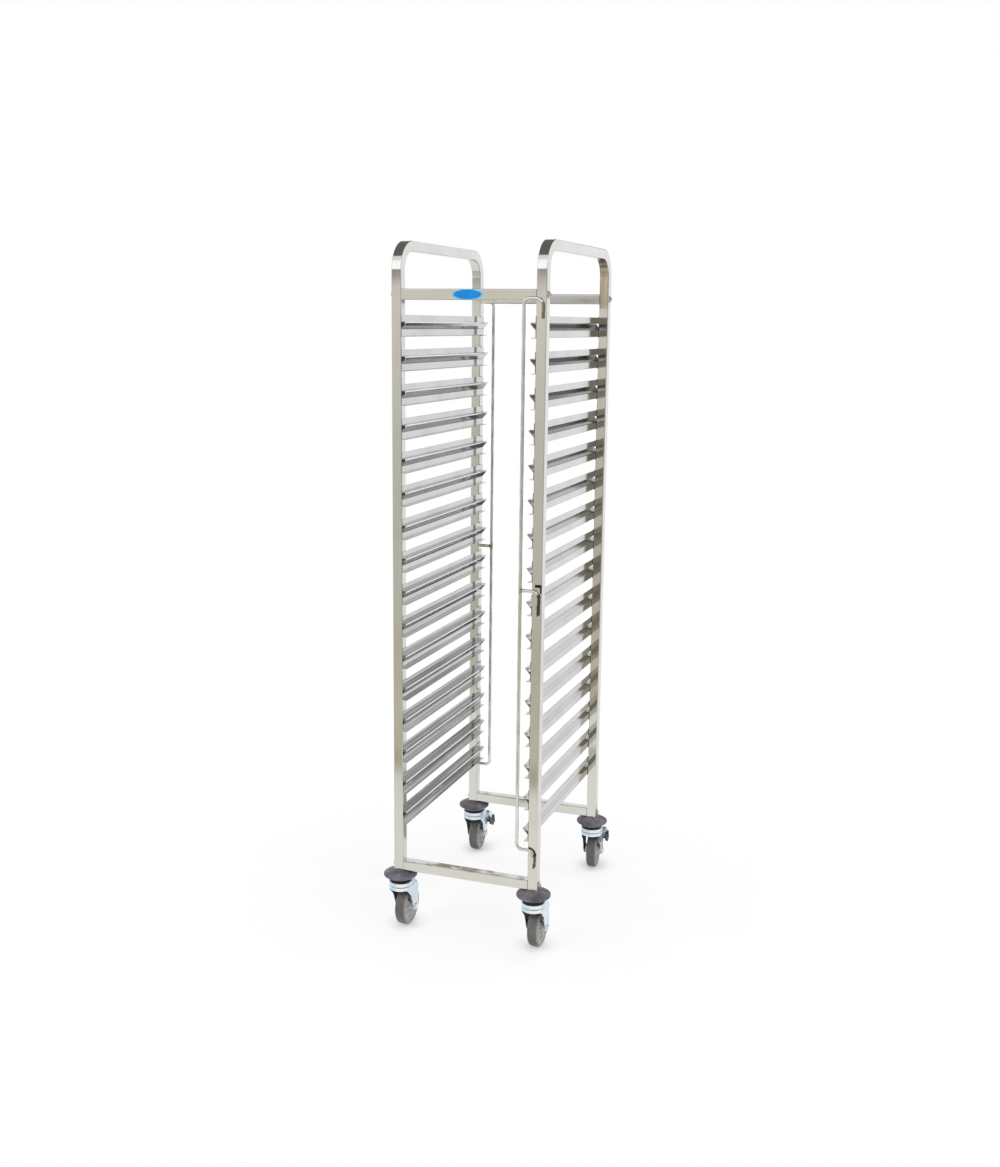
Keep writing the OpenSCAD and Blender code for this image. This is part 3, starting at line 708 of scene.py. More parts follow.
upright_card(
    "brown_side", (3.3, -1.6), (3.3, 1.0), 0.0, 2.4,
    [(0.0, (0.56, 0.53, 0.45)), (0.5, (0.42, 0.40, 0.34)), (1.0, (0.62, 0.60, 0.54))],
)
upright_card(
    "dark_door", (-0.45, 3.9), (0.62, 3.9), 0.7, 2.9,
    [(0.0, (0.05, 0.05, 0.05)), (1.0, (0.12, 0.12, 0.13))],
)
upright_card(
    "bright_screen", (0.95, 3.8), (4.5, 1.0), 0.0, 3.2,
    [(0.0, (1.06, 1.06, 1.06)), (1.0, (1.10, 1.10, 1.10))],
)

FLOOR_LIFT, CEILING_Z = 0.004, 3.2
level_card(
    "front_apron",
    FLOOR_LIFT,
    [(-3.6, WALL_Y), (3.0, WALL_Y), (3.0, 0.0), (-3.6, 0.0)],
    (WALL_Y, 0.0),
    [
        (0.0, (0.67, 0.66, 0.53)),
        (0.26, (0.68, 0.66, 0.53)),
        (0.30, (0.50, 0.47, 0.35)),
        (0.355, (0.50, 0.47, 0.35)),
        (0.395, (0.98, 0.97, 0.88)),
        (1.0, (1.00, 0.99, 0.93)),
    ],
)
level_card(
    "dark_ceiling",
    CEILING_Z,
    [(-1.8, -1.25), (-1.8, 3.0), (1.8, 3.0), (1.8, -1.25)],
    (-1.25, 3.0),
    [(0.0, (0.16, 0.155, 0.15)), (1.0, (0.18, 0.17, 0.15))],
)
level_card(
    "grey_floor",
    FLOOR_LIFT,
    [(0.0, 0.28), (0.27, 0.28), (0.42, 1.80), (0.0, 0.62)],
    (0.28, 1.8),
    [(0.0, (0.46, 0.45, 0.41)), (1.0, (0.22, 0.21, 0.20))],
)
level_card(
    "dark_floor",
    FLOOR_LIFT,
    [
        (-0.35, 0.38), (-0.12, 1.0), (0.16, 2.6), (0.25, 3.9),
        (-0.6, 3.9), (-0.75, 1.6), (-0.6, 0.38),
    ],
    (0.38, 3.9),
    [
        (0.0, (0.46, 0.45, 0.41)),
        (0.2, (0.27, 0.26, 0.24)),
        (0.6, (0.11, 0.11, 0.10)),
        (0.86, (0.08, 0.08, 0.08)),
        (1.0, (0.50, 0.50, 0.49)),
    ],
)

# %% [markdown]
# Three large soft lamps light the scene: one overhead, one from the front left and one
# from the front right. They are wide, so the shadows stay faint, and mirrors do not see
# them, because the white surroundings already stand in for their soft boxes.


# %% Lamps
def soft_lamp(name, place, aim, size, power):
    lamp = bpy.data.lights.new(name, "AREA")
    lamp.shape = "DISK"
    lamp.size = size
    lamp.energy = power
    made = bpy.data.objects.new(name, lamp)
    direction = Vector(aim) - Vector(place)
    turned = direction.to_track_quat("-Z", "Y").to_matrix().to_4x4()
    made.matrix_world = Matrix.Translation(place) @ turned
    made.visible_glossy = False
    made.visible_camera = False
    bpy.context.scene.collection.objects.link(made)


soft_lamp("overhead", (0.2, 0.3, 3.6), (0, 0, 0.6), size=2.6, power=62)
soft_lamp("front_left", (-2.4, -2.6, 2.4), (0, 0, 0.7), size=1.8, power=34)
soft_lamp("front_right", (2.8, -1.8, 2.0), (0, 0, 0.7), size=1.8, power=26)
print("lamps:", len(bpy.data.lights))

# %% [markdown]
# Every finer piece is a list of points in millimetres with its faces. One helper writes
# it as a mesh in metres, with its place already in its points, and another makes it an
# object that rides on a body of the frame and stands for the plain nodes it improves.


# %% Meshes and pieces
def baked(host):
    """The mesh of an object with its modifiers in it. The object itself goes."""
    depsgraph = bpy.context.evaluated_depsgraph_get()
    made = bpy.data.meshes.new_from_object(host.evaluated_get(depsgraph))
    host.modifiers.clear()
    bpy.data.objects.remove(host)
    return made


def host_of(mesh):
    host = bpy.data.objects.new(mesh.name, mesh)
    bpy.context.scene.collection.objects.link(host)
    return host


def smooth(mesh, crease):
    """Smooth shading with sharp corners, in which wide faces stay quite flat."""
    name = mesh.name
    old = mesh.attributes.get("custom_normal")
    if old:
        mesh.attributes.remove(old)
    mesh.shade_smooth()
    mesh.set_sharp_from_angle(angle=math.radians(crease))
    host = host_of(mesh)
    host.modifiers.new("flat", "WEIGHTED_NORMAL").keep_sharp = True
    made = baked(host)
    mesh.name = name + "_raw"
    made.name = name
    return made


def together(*parts):
    """Several (points, faces) pairs as one."""
    points, faces = [], []
    for part_points, part_faces in parts:
        start = len(points)
        points += part_points
        faces += [[start + i for i in face] for face in part_faces]
    return points, faces


def mesh_of(name, part, place=None, crease=32.0):
    points, faces = part
    place = place or Matrix.Identity(4)
    mesh = bpy.data.meshes.new(name)
    mesh.from_pydata([(place @ Vector(point)) * MM for point in points], [], faces)
    shape = bmesh.new()
    shape.from_mesh(mesh)
    bmesh.ops.remove_doubles(shape, verts=shape.verts, dist=0.00001)
    bmesh.ops.dissolve_degenerate(shape, edges=shape.edges, dist=0.000005)
    bmesh.ops.recalc_face_normals(shape, faces=shape.faces)
    shape.to_mesh(mesh)
    shape.free()
    return smooth(mesh, crease)


def part_of(mesh):
    """A finished mesh as points in millimetres with its faces, to go into other parts."""
    return [tuple(v.co / MM) for v in mesh.vertices], [tuple(p.vertices) for p in mesh.polygons]


def mark(mesh, name, numbers, domain="FACE"):
    """Writes one number on each face or point, for a finish to read."""
    mesh.attributes.new(name, "FLOAT", domain).data.foreach_set("value", numbers)


def piece(name, mesh, finish, body, replaces=()):
    mesh.materials.clear()
    mesh.materials.append(finish)
    made = bpy.data.objects.new(name, mesh)
    bpy.context.scene.collection.objects.link(made)
    if replaces:
        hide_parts(*replaces)
    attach(made, body)


# %% [markdown]
# Pressed and moulded parts have no sharp corners. `rounded` draws an outline whose
# corners each have their own radius, and `lathe` turns such an outline round an axis.
# `block` joins an outline to its copy, and `shell` fills rings of points like a dish.


# %% Outlines and turned shapes
def rounded(corners, steps=5, closed=True):
    """An outline through corners (x, y, radius), with an arc in place of each corner."""
    outline = []
    count = len(corners)
    for i, (x, y, radius) in enumerate(corners):
        at = Vector((x, y))
        if radius <= 0 or (not closed and i in (0, count - 1)):
            outline.append((x, y))
            continue
        before, after = (Vector(corners[(i + k) % count][:2]) for k in (-1, 1))
        u, v = (before - at).normalized(), (after - at).normalized()
        half = u.angle(v) / 2
        reach = radius / math.tan(half)
        centre = at + (u + v).normalized() * (radius / math.sin(half))
        first, last = at + u * reach - centre, at + v * reach - centre
        sweep = first.angle_signed(last)
        for k in range(steps + 1):
            spoke = first.copy()
            spoke.rotate(Matrix.Rotation(-sweep * k / steps, 2))
            outline.append(tuple(centre + spoke))
    return outline


def lathe(outline, turns=96):
    """A closed outline of (radius, height) points turned round the z axis."""
    count = len(outline)
    points = [
        (r * math.cos(a), r * math.sin(a), z)
        for a in (2 * math.pi * i / turns for i in range(turns))
        for r, z in outline
    ]
    faces = []
    for i in range(turns):
        here, there = i * count, (i + 1) % turns * count
        for k in range(count):
            after = (k + 1) % count
            faces.append((here + k, there + k, there + after, here + after))
    return points, faces


def block(near, far, capped=True):
    """A closed outline of points joined to its copy at the other end."""
    count = len(near)
    faces = [(i, (i + 1) % count, count + (i + 1) % count, count + i) for i in range(count)]
    if capped:
        faces += [tuple(range(count)), tuple(range(count, 2 * count))]
    return near + far, faces


def shell(middle, rings):
    """A middle point with rings of points round it, the last of them filled."""
    turns = len(rings[0])
    faces = [(0, 1 + i, 1 + (i + 1) % turns) for i in range(turns)]
    for k in range(len(rings) - 1):
        for i in range(turns):
            a, b = 1 + k * turns + i, 1 + k * turns + (i + 1) % turns
            faces.append((a, b, b + turns, a + turns))
    last = 1 + (len(rings) - 1) * turns
    faces.append([last + i for i in range(turns)])
    return [middle] + [point for ring in rings for point in ring], faces


# %% [markdown]
# What repeats or follows a path is made with Geometry Nodes. The same `Nodes` helper
# builds those trees. A `Recipe` has named inputs, and `cook` runs it on a starting mesh
# and keeps the result as a plain mesh.


# %% Recipes for repeated shapes
class Recipe(Nodes):
    """A Geometry Nodes tree with named inputs, used once for each piece."""

    KINDS = {float: "NodeSocketFloat", int: "NodeSocketInt"}

    def __init__(self, name, **inputs):
        super().__init__(bpy.data.node_groups.new(name, "GeometryNodeTree"))
        doors = self.tree.interface
        doors.new_socket("Geometry", in_out="INPUT", socket_type="NodeSocketGeometry")
        doors.new_socket("Geometry", in_out="OUTPUT", socket_type="NodeSocketGeometry")
        doors.new_socket("Finish", in_out="INPUT", socket_type="NodeSocketMaterial")
        for key, default in inputs.items():
            made = doors.new_socket(
                key.replace("_", " "), in_out="INPUT", socket_type=self.KINDS[type(default)]
            )
            made.default_value = default
        start = self.tree.nodes.new("NodeGroupInput")
        self.start = Wire(self, start.outputs["Geometry"])
        self.inputs = {
            key: Wire(self, start.outputs[key.replace("_", " ")]) for key in inputs
        }
        self.finish = Wire(self, start.outputs["Finish"])

    def moved(self, geometry, **sockets):
        return self.add("GeometryNodeTransform", None, {"Geometry": geometry, **sockets})

    def joined(self, first, second):
        both = self.add("GeometryNodeJoinGeometry", None, {"Geometry": first})
        self.feed(both.socket.node.inputs["Geometry"], second)
        return both

    def on_points(self, points, instance, **sockets):
        placed = {"Points": points, "Instance": instance, **sockets}
        return self.add("GeometryNodeInstanceOnPoints", None, placed)

    def line(self, step):
        """As many points as the input Count says, each one step on from the last."""
        sockets = {"Count": self.inputs["Count"], "Offset": step}
        return self.add("GeometryNodeMeshLine", {"mode": "OFFSET"}, sockets)

    def serve(self, geometry):
        """Ends the tree: instances become real, and take the finish."""
        real = self.add("GeometryNodeRealizeInstances", None, {"Geometry": geometry})
        painted = self.add(
            "GeometryNodeSetMaterial", None, {"Geometry": real, "Material": self.finish}
        )
        self.add("NodeGroupOutput", None, {"Geometry": painted})

    def cook(self, name, mesh, finish, crease=32.0, **values):
        """The mesh that the tree makes of a starting mesh, for these inputs."""
        host = host_of(mesh)
        modifier = host.modifiers.new(self.tree.name, "NODES")
        modifier.node_group = self.tree
        wanted = {"Finish": finish}
        wanted.update({key.replace("_", " "): value for key, value in values.items()})
        for item in self.tree.interface.items_tree:
            if item.in_out == "INPUT" and item.name in wanted:
                modifier[item.identifier] = wanted[item.name]
        made = baked(host)
        made.name = name
        return smooth(made, crease)


# %% [markdown]
# ## The frame
#
# Each handle hoop is one length of tube with two bends. It could be drawn as an arch of
# many pieces, but a bender makes it by pushing tube round a former, and a sweep is the
# same idea: a square section with round corners follows a path. The ends are eased a
# little, so that the joint with the post shows as a fine dark line.

# %% Handle hoops
sweep = Recipe(
    "tube_on_path",
    Tube=TUBE * MM,
    Corner=TUBE_CORNER * MM,
    Bend=(HOOP_BEND_R - TUBE / 2) * MM,
    Ease=0.96,
    Steps=24,
)
path = sweep.add("GeometryNodeMeshToCurve", None, {"Mesh": sweep.start})
path = sweep.add(
    "GeometryNodeFilletCurve",
    {"mode": "POLY"},
    {
        "Curve": path,
        "Count": sweep.inputs["Steps"],
        "Radius": sweep.inputs["Bend"],
        "Limit Radius": True,
    },
)
ends = sweep.add("GeometryNodeCurveEndpointSelection", None, {"Start Size": 1, "End Size": 1})
eased_ends = {"Curve": path, "Selection": ends, "Radius": sweep.inputs["Ease"]}
path = sweep.add("GeometryNodeSetCurveRadius", None, eased_ends)
square = {"Width": sweep.inputs["Tube"], "Height": sweep.inputs["Tube"]}
section = sweep.add("GeometryNodeCurvePrimitiveQuadrilateral", None, square)
section = sweep.add(
    "GeometryNodeFilletCurve",
    {"mode": "POLY"},
    {"Curve": section, "Count": 6, "Radius": sweep.inputs["Corner"], "Limit Radius": True},
)
tube = {"Curve": path, "Profile Curve": section, "Fill Caps": True}
swept = sweep.add("GeometryNodeCurveToMesh", None, tube)
sweep.serve(swept)


def hoop_path(side):
    """The hoop's centre line, with a point just inside each end for the eased edge."""
    grip_z, ease = HOOP_TOP_Z - TUBE / 2, 0.6
    line = [
        (-POST_Y, JOINT_Z),
        (-POST_Y, JOINT_Z + ease),
        (-POST_Y, grip_z),
        (POST_Y, grip_z),
        (POST_Y, JOINT_Z + ease),
        (POST_Y, JOINT_Z),
    ]
    mesh = bpy.data.meshes.new("hoop_path")
    points = [(side * POST_X * MM, y * MM, z * MM) for y, z in line]
    mesh.from_pydata(points, [(i, i + 1) for i in range(len(line) - 1)], [])
    return mesh


for word, side in (("left", -1), ("right", 1)):
    bent = sweep.cook("hoop_%s_bent" % word, hoop_path(side), steel_upright, crease=40)
    piece(bent.name, bent, steel_upright, "frame", ["hoop_" + word])
    print(bent.name, len(bent.polygons), "faces")

# %% [markdown]
# Eight domed bolts hold the rails between the posts and the hoops. Each has a hexagon
# socket in its head and a washer with eased edges under it. One bolt is drawn, and a
# recipe sets it on the four places of a side, and again on the other side.


# %% Bolts and washers
def domed_bolt():
    """A domed head with its socket, and its washer, pointing along +z from the tube."""
    washer_t, head_r, head_h, socket_r, socket_depth = 1.4, 6.0, 5.0, 1.9, 2.4
    ball_r = (head_r**2 + head_h**2) / (2 * head_h)
    turns = 48
    outlines = [("hexagon", socket_r, True), ("hexagon", socket_r, False)]
    outlines += [("round", r, False) for r in (2.5, 3.2, 4.0, 4.8, 5.4, 5.8, head_r)]
    rings = []
    for kind, radius, sunk in outlines:
        ring = []
        for i in range(turns):
            a = 2 * math.pi * i / turns
            r = radius
            if kind == "hexagon":
                r = radius / math.cos((a + math.pi / 6) % (math.pi / 3) - math.pi / 6)
            z = math.sqrt(ball_r**2 - r**2) - (ball_r - head_h)
            z = head_h - socket_depth if sunk else z
            ring.append((r * math.cos(a), r * math.sin(a), washer_t + z))
        rings.append(ring)
    head = shell((0, 0, washer_t + head_h - socket_depth), rings)
    washer = rounded(
        [(3.3, 0, 0), (9.0, 0, 0.3), (9.0, washer_t, 0.45), (3.3, washer_t, 0)], steps=3
    )
    return together(head, lathe(washer, turns))


bolting = Recipe(
    "bolts_on_a_frame",
    Spread_Y=2 * POST_Y * MM,
    Spread_Z=(TOP_BOLT_Z - LOW_BOLT_Z) * MM,
    Middle_Z=(TOP_BOLT_Z + LOW_BOLT_Z) / 2 * MM,
    Face_X=FRAME_W / 2 * MM,
)
spots = bolting.add(
    "GeometryNodeMeshGrid",
    None,
    {
        "Size X": bolting.inputs["Spread_Z"],
        "Size Y": bolting.inputs["Spread_Y"],
        "Vertices X": 2,
        "Vertices Y": 2,
    },
    out="Mesh",
)
side_move = bolting.vector(bolting.inputs["Face_X"], 0.0, bolting.inputs["Middle_Z"])
right_side = bolting.moved(
    bolting.on_points(spots, bolting.start), Translation=side_move, Rotation=(0, math.pi / 2, 0)
)
left_side = bolting.moved(right_side, Rotation=(0, 0, math.pi))
bolting.serve(bolting.joined(right_side, left_side))
bolt_mesh = bolting.cook("socket_bolts", mesh_of("one_bolt", domed_bolt()), bolt_steel)
piece(
    "socket_bolts", bolt_mesh, bolt_steel, "frame", ["frame_bolts", "frame_washers"]
)
print("bolts:", len(bolt_mesh.polygons), "faces")

# %% [markdown]
# The oval plate is pressed from thin sheet: a raised rim runs round a slightly sunk
# field. Rings of an ellipse, each a little higher or lower than the last, give it that.


# %% Oval plate
def oval_shell():
    """Rings from the middle of the plate to its edge and round to its back."""
    front, deepest, turns = -FRAME_D / 2, 0.55, 96
    steps = [(6.0, deepest), (3.0, deepest), (2.1, 0.58), (1.75, 0.85), (1.3, 0.98)]
    steps += [(0.7, 1.0), (0.25, 0.92), (0.0, 0.6), (0.0, 0.0)]
    angles = [2 * math.pi * i / turns for i in range(turns)]
    rings = [
        [
            (
                (PLATE_HALF_W - inset) * math.cos(a),
                front - rise,
                TOP_BOLT_Z + (PLATE_HALF_H - inset) * math.sin(a),
            )
            for a in angles
        ]
        for inset, rise in steps
    ]
    return shell((0, front - deepest, TOP_BOLT_Z), rings)


plate_mesh = mesh_of("rimmed_plate", oval_shell(), crease=50)
piece("rimmed_plate", plate_mesh, blue_plate, "frame", ["oval_plate"])
print("plate:", len(plate_mesh.polygons), "faces")

# %% [markdown]
# ## The runners
#
# A runner is one strip of sheet with four folds: a strip against the posts, the ledge
# that a tray slides on, a round nose, a slanting flank, and a second strip with a lip
# that keeps the tray from tipping. Its centre line is drawn first and then thickened,
# so that every fold has the inside and outside radius of real sheet. A recipe stacks it.


# %% Folded section
def thickened(line, thickness):
    """A closed outline at half the thickness on both sides of an open line."""
    left, right = [], []
    for i, point in enumerate(line):
        at = Vector(point)
        ahead = Vector(line[min(i + 1, len(line) - 1)]) - at
        behind = at - Vector(line[max(i - 1, 0)])
        along = (ahead.normalized() + behind.normalized()).normalized()
        across = Vector((-along.y, along.x)) * (thickness / 2)
        left.append(tuple(at + across))
        right.append(tuple(at - across))
    return left + right[::-1]


def runner_strip(side):
    """One runner of a side, at the height of the top ledge."""
    sheet_t, fold, nose = 1.2, 1.3, 1.75
    middle = sheet_t / 2
    line = rounded(
        [
            (middle, UPPER_STRIP, 0),
            (middle, -middle, fold),
            (15.1, -middle, nose),
            (middle, -17.2, 2.5),
            (middle, -RUNNER_FOOT + middle, fold),
            (LIP, -RUNNER_FOOT + middle, 0),
        ],
        steps=6,
        closed=False,
    )
    outline = thickened(line, sheet_t)
    reach = FRAME_D / 2 - 1.0
    ends = [
        [(side * (INNER_X - x), y, TOP_LEDGE_Z + z) for x, z in outline] for y in (-reach, reach)
    ]
    points, faces = block(*ends, capped=False)
    count = len(outline)
    for i in range(count // 2 - 1):
        cap = (i, i + 1, count - 2 - i, count - 1 - i)
        faces += [cap, [count + k for k in cap]]
    return points, faces


# Channel numbers: painted shade in fold, channel and part of the ledge; nose highlight.
FOLD, INSIDE, LEDGE, NOSE = 2.0, 1.0, 0.45, -1.0


def mark_sheet(mesh):
    """Marks the sheared edges, and where painted shade and a painted nose highlight go."""
    cuts, channels = [], []
    for face in mesh.polygons:
        x, z = abs(face.center.x) / MM, face.center.z / MM - TOP_LEDGE_Z
        outwards = face.normal.x * math.copysign(1, face.center.x)
        at_end = abs(face.normal.y) > 0.9
        at_top = abs(z - UPPER_STRIP) < 0.05
        at_lip = abs(x - INNER_X + LIP) < 0.05 and z < -RUNNER_FOOT / 2
        cuts.append(float(at_end or at_top or at_lip))
        under_ledge = face.normal.z < -0.9 and z > -2.0
        in_flank = outwards > 0.3 and -17.5 < z < -1.0
        in_fold = -19.6 < z < -15.6 and 0.03 < abs(face.normal.z) < 0.62
        on_ledge = face.normal.z > 0.9 and abs(z) < 0.1
        on_nose = outwards < -0.1 and face.normal.z > 0.2 and -2.5 < z < 0.05
        channel = FOLD if in_fold else INSIDE * (under_ledge or in_flank)
        channel = LEDGE if on_ledge else NOSE if on_nose else channel
        channels.append(channel * (not at_end))
    mark(mesh, "cut", cuts)
    mark(mesh, "channel", channels)
    return mesh


stack = Recipe("stack_of_levels", Count=LEVELS, Pitch=LEVEL_PITCH * MM)
drop = stack.vector(0.0, 0.0, 0.0 - stack.inputs["Pitch"])
stack.serve(stack.on_points(stack.line(drop), stack.start))
for word, side in (("left", -1), ("right", 1)):
    one = mark_sheet(mesh_of("one_runner", runner_strip(side), crease=25))
    folded = stack.cook("runners_%s_folded" % word, one, steel_sheet, crease=25)
    quarters = ["runners_%s_%s" % (word, part) for part in ("top", "upper", "lower", "bottom")]
    piece(folded.name, folded, steel_sheet, "frame", quarters)
    print(folded.name, len(folded.polygons), "faces")

# %% [markdown]
# Spot and tack welds hold the runners. The tacks are small beads, dark brown from the
# heat, where a strip crosses the edge of a post. Each bead is a little different,
# so the recipe turns and sizes them with a fixed seed.

# %% Weld tacks
burnt = Finish("burnt_weld", Metallic=1.0)
bands = burnt.noise(burnt.place, scale=420.0, detail=3.0)
tack_colour = burnt.mix(rgb(0.07, 0.06, 0.05), rgb(0.20, 0.16, 0.11), bands.step(0.35, 0.7))
weld_steel = burnt.paint(tack_colour, 0.35 + bands * 0.2, bands, distance=0.0003, strength=0.6)

beading = Recipe("weld_beads", Length=0.007, Thickness=0.0032, Seed=4)
ball = {"Radius": 0.5, "Subdivisions": 2}
bead = beading.add("GeometryNodeMeshIcoSphere", None, ball, out="Mesh")
shape_of_bead = beading.vector(
    beading.inputs["Thickness"], beading.inputs["Length"], beading.inputs["Thickness"] * 0.9
)
bead = beading.moved(bead, Scale=shape_of_bead)
turned = beading.add(
    "FunctionNodeRandomValue",
    {"data_type": "FLOAT_VECTOR"},
    {"Min": (-0.15, -0.1, -0.15), "Max": (0.15, 0.1, 0.15), "Seed": beading.inputs["Seed"]},
)
sized = beading.add(
    "FunctionNodeRandomValue",
    {"data_type": "FLOAT"},
    {"Min_001": 0.75, "Max_001": 1.2, "Seed": beading.inputs["Seed"] + 1},
    out="Value_001",
)
beading.serve(beading.on_points(beading.start, bead, Rotation=turned, Scale=sized))


def tack_points():
    """Where the strips' edges cross the inner edges of the rear posts."""
    sunk_in_post, in_from_edge = 0.5, 2.5
    return [
        (side * (INNER_X - sunk_in_post), FRAME_D / 2 - TUBE + in_from_edge, z)
        for side in (-1, 1)
        for level in range(LEVELS)
        for z in (
            TOP_LEDGE_Z - level * LEVEL_PITCH + UPPER_STRIP,
            TOP_LEDGE_Z - level * LEVEL_PITCH - RUNNER_FOOT,
        )
    ]


tack_mesh = beading.cook("weld_tacks", mesh_of("tack_spots", (tack_points(), [])), weld_steel)
piece("weld_tacks", tack_mesh, weld_steel, "frame")
print("tacks:", len(tack_points()), "beads,", len(tack_mesh.polygons), "faces")

# %% [markdown]
# ## The gates
#
# The middle arm of each gate is welded to its upright. A ring of small overlapping beads
# round the end of the arm shows that joint, where two plain cylinders would only cross.


# %% Gate welds
def collar_points(turns_half_round):
    """A ring of bead places round the middle arm, where it meets the upright."""
    reach, ring_r, beads, saddle = 4.3, 4.1, 18, 0.9
    spots = []
    for i in range(beads):
        a = 2 * math.pi * i / beads
        x = GATE_WELD_X + reach - saddle * math.cos(a) ** 2
        y, z = GATE_Y + ring_r * math.cos(a), GATE_ARMS_Z[1] + ring_r * math.sin(a)
        spots.append((-x, -y, z) if turns_half_round else (x, y, z))
    return spots


for word, rear in (("front", False), ("rear", True)):
    ring = mesh_of("collar_spots", (collar_points(rear), []))
    collar = beading.cook(
        "gate_weld_" + word, ring, weld_steel, Length=0.0022, Thickness=0.0022, Seed=9
    )
    piece(collar.name, collar, weld_steel, "gate_" + word)
    print(collar.name, len(collar.polygons), "faces")

# %% [markdown]
# Small parts that are already the right shape only lack eased edges, and those edges
# catch the light. A copy of the node is cleaned of its loose triangles and bevelled.


# %% Eased copies of CAD nodes
def eased(name, width, segments=2, crease=32.0):
    """A copy of a CAD node's mesh with a small round on every sharp edge."""
    mesh = nodes[name].data.copy()
    custom = mesh.attributes.get("custom_normal")
    if custom:
        mesh.attributes.remove(custom)
    shape = bmesh.new()
    shape.from_mesh(mesh)
    bmesh.ops.remove_doubles(shape, verts=shape.verts, dist=0.00001)
    bmesh.ops.dissolve_limit(
        shape, angle_limit=math.radians(1), verts=shape.verts, edges=shape.edges
    )
    shape.to_mesh(mesh)
    shape.free()
    host = host_of(mesh)
    bevel = host.modifiers.new("ease", "BEVEL")
    bevel.width = width * MM
    bevel.segments = segments
    bevel.limit_method = "ANGLE"
    bevel.angle_limit = math.radians(35)
    return smooth(baked(host), crease)


for word in ("front", "rear"):
    strap = "gate_straps_" + word
    piece(strap + "_eased", eased(strap, 0.25), steel_upright, "frame", [strap])

# %% [markdown]
# ## The castors
#
# All four castors are the same, apart from how far each has turned and the brakes at
# the rear. Their pieces are drawn once in the castor's own frame, with y pointing back
# from the swivel axis, and `castor_place` turns and moves them to a corner. The table
# says on which side and at which end each castor is, and its turn in degrees.

# %% Places of the castors
WHEEL_R, TRAIL, CASTOR_H = 50.0, 38.0, 132.0
LEG_OUT, LEG_IN, END_R = 26.0, 23.5, 12.0
CASTORS = {
    "front_left": (-1, -1, -1.0),
    "front_right": (1, -1, 0.0),
    "rear_left": (-1, 1, 4.0),
    "rear_right": (1, 1, 6.0),
}


def castor_place(corner):
    side, end, turned_by = CASTORS[corner]
    moved = Matrix.Translation((side * POST_X, end * POST_Y, 0))
    return moved @ Matrix.Rotation(math.radians(turned_by), 4, "Z")


def wheel_place(corner):
    """The wheel's middle, with x still along the axle."""
    return castor_place(corner) @ Matrix.Translation((0, TRAIL, WHEEL_R))


def axle_place(corner):
    """The wheel's own frame: z along the axle, towards the castor's right."""
    return wheel_place(corner) @ Matrix.Rotation(math.pi / 2, 4, "Y")


# %% [markdown]
# The fork is a pressed arch: one sheet runs down one side of the wheel, over the top and
# down the other side, with round corners and curved edges. Rows of points follow the
# arch, and each row is as long as the side view is wide at that height.


# %% Forks
def side_outline():
    """Side view of the fork, as (y, z), from the crown to the round end at the axle."""
    round_end = [
        (TRAIL + END_R * math.cos(math.radians(a)), WHEEL_R + END_R * math.sin(math.radians(a)), 0)
        for a in range(-140, 1, 10)
    ]
    top = 119.4
    return rounded(
        [(-14, top, 0), (-14, 109, 8), (10, 86, 22)]
        + round_end
        + [(50, 109.5, 7), (42, top, 0)],
        steps=8,
    )


def width_at(outline, z):
    """Where a level line at height z enters and leaves the outline."""
    hits = []
    for (y0, z0), (y1, z1) in zip(outline, outline[1:] + outline[:1]):
        if min(z0, z1) <= z <= max(z0, z1) and abs(z1 - z0) > 1e-9:
            hits.append(y0 + (y1 - y0) * (z - z0) / (z1 - z0))
    return (min(hits), max(hits)) if hits else (TRAIL, TRAIL)


def arch_section(out, top, corner, foot):
    """Half of the arch's section as (x, z), from the foot of a leg to the middle."""
    leg = [foot + (top - corner - foot) * (1 - math.cos(t * math.pi / 40)) for t in range(21)]
    section = [(out, z) for z in leg]
    for k in range(1, 9):
        a = math.pi / 2 * k / 8
        section.append((out - corner + corner * math.cos(a), top - corner + corner * math.sin(a)))
    return section + [(0.0, top)]


def fork_arch():
    """The arch's outer and inner layer of points, with its edges closed between them."""
    outline = side_outline()
    columns, top = 6, 119.39
    foot = WHEEL_R - END_R
    outer = arch_section(LEG_OUT, 122.6, 8.5, foot)
    inner = arch_section(LEG_IN, 120.1, 6.0, foot)
    outer += [(-x, z) for x, z in outer[-2::-1]]
    inner += [(-x, z) for x, z in inner[-2::-1]]
    rows = len(outer)
    points = []
    for layer in (outer, inner):
        for row, (x, z) in enumerate(layer):
            near, far = width_at(outline, min(outer[row][1], top))
            points += [(x, near + (far - near) * k / columns, z) for k in range(columns + 1)]
    across = columns + 1
    faces = []
    for row in range(rows - 1):
        for k in range(columns):
            a = row * across + k
            b = a + rows * across
            faces.append((a, a + 1, a + across + 1, a + across))
            faces.append((b, b + across, b + across + 1, b + 1))
        for k in (0, columns):
            a = row * across + k
            b = a + rows * across
            faces.append((a, a + across, b + across, b))
    return points, faces


def crown():
    """The round cap over the arch: its skirt has a groove, and its floor bears the balls."""
    bore_r, inner_r, groove_r, outer_r = 5.05, 26.5, 28.0, 29.0
    return lathe(
        rounded(
            [
                (bore_r, 116.0, 0),
                (9.05, 116.0, 0.5),
                (9.05, 119.0, 0.5),
                (inner_r, 119.0, 1.5),
                (inner_r, 111.0, 0.4),
                (outer_r, 111.0, 0.8),
                (outer_r, 119.6, 0.5),
                (groove_r, 120.4, 0.4),
                (groove_r, 121.8, 0.4),
                (outer_r, 122.6, 0.5),
                (outer_r, 131.5, 1.2),
                (inner_r, 131.5, 0.4),
                (inner_r, 122.6, 1.0),
                (bore_r, 122.6, 0),
            ],
            steps=3,
        )
    )


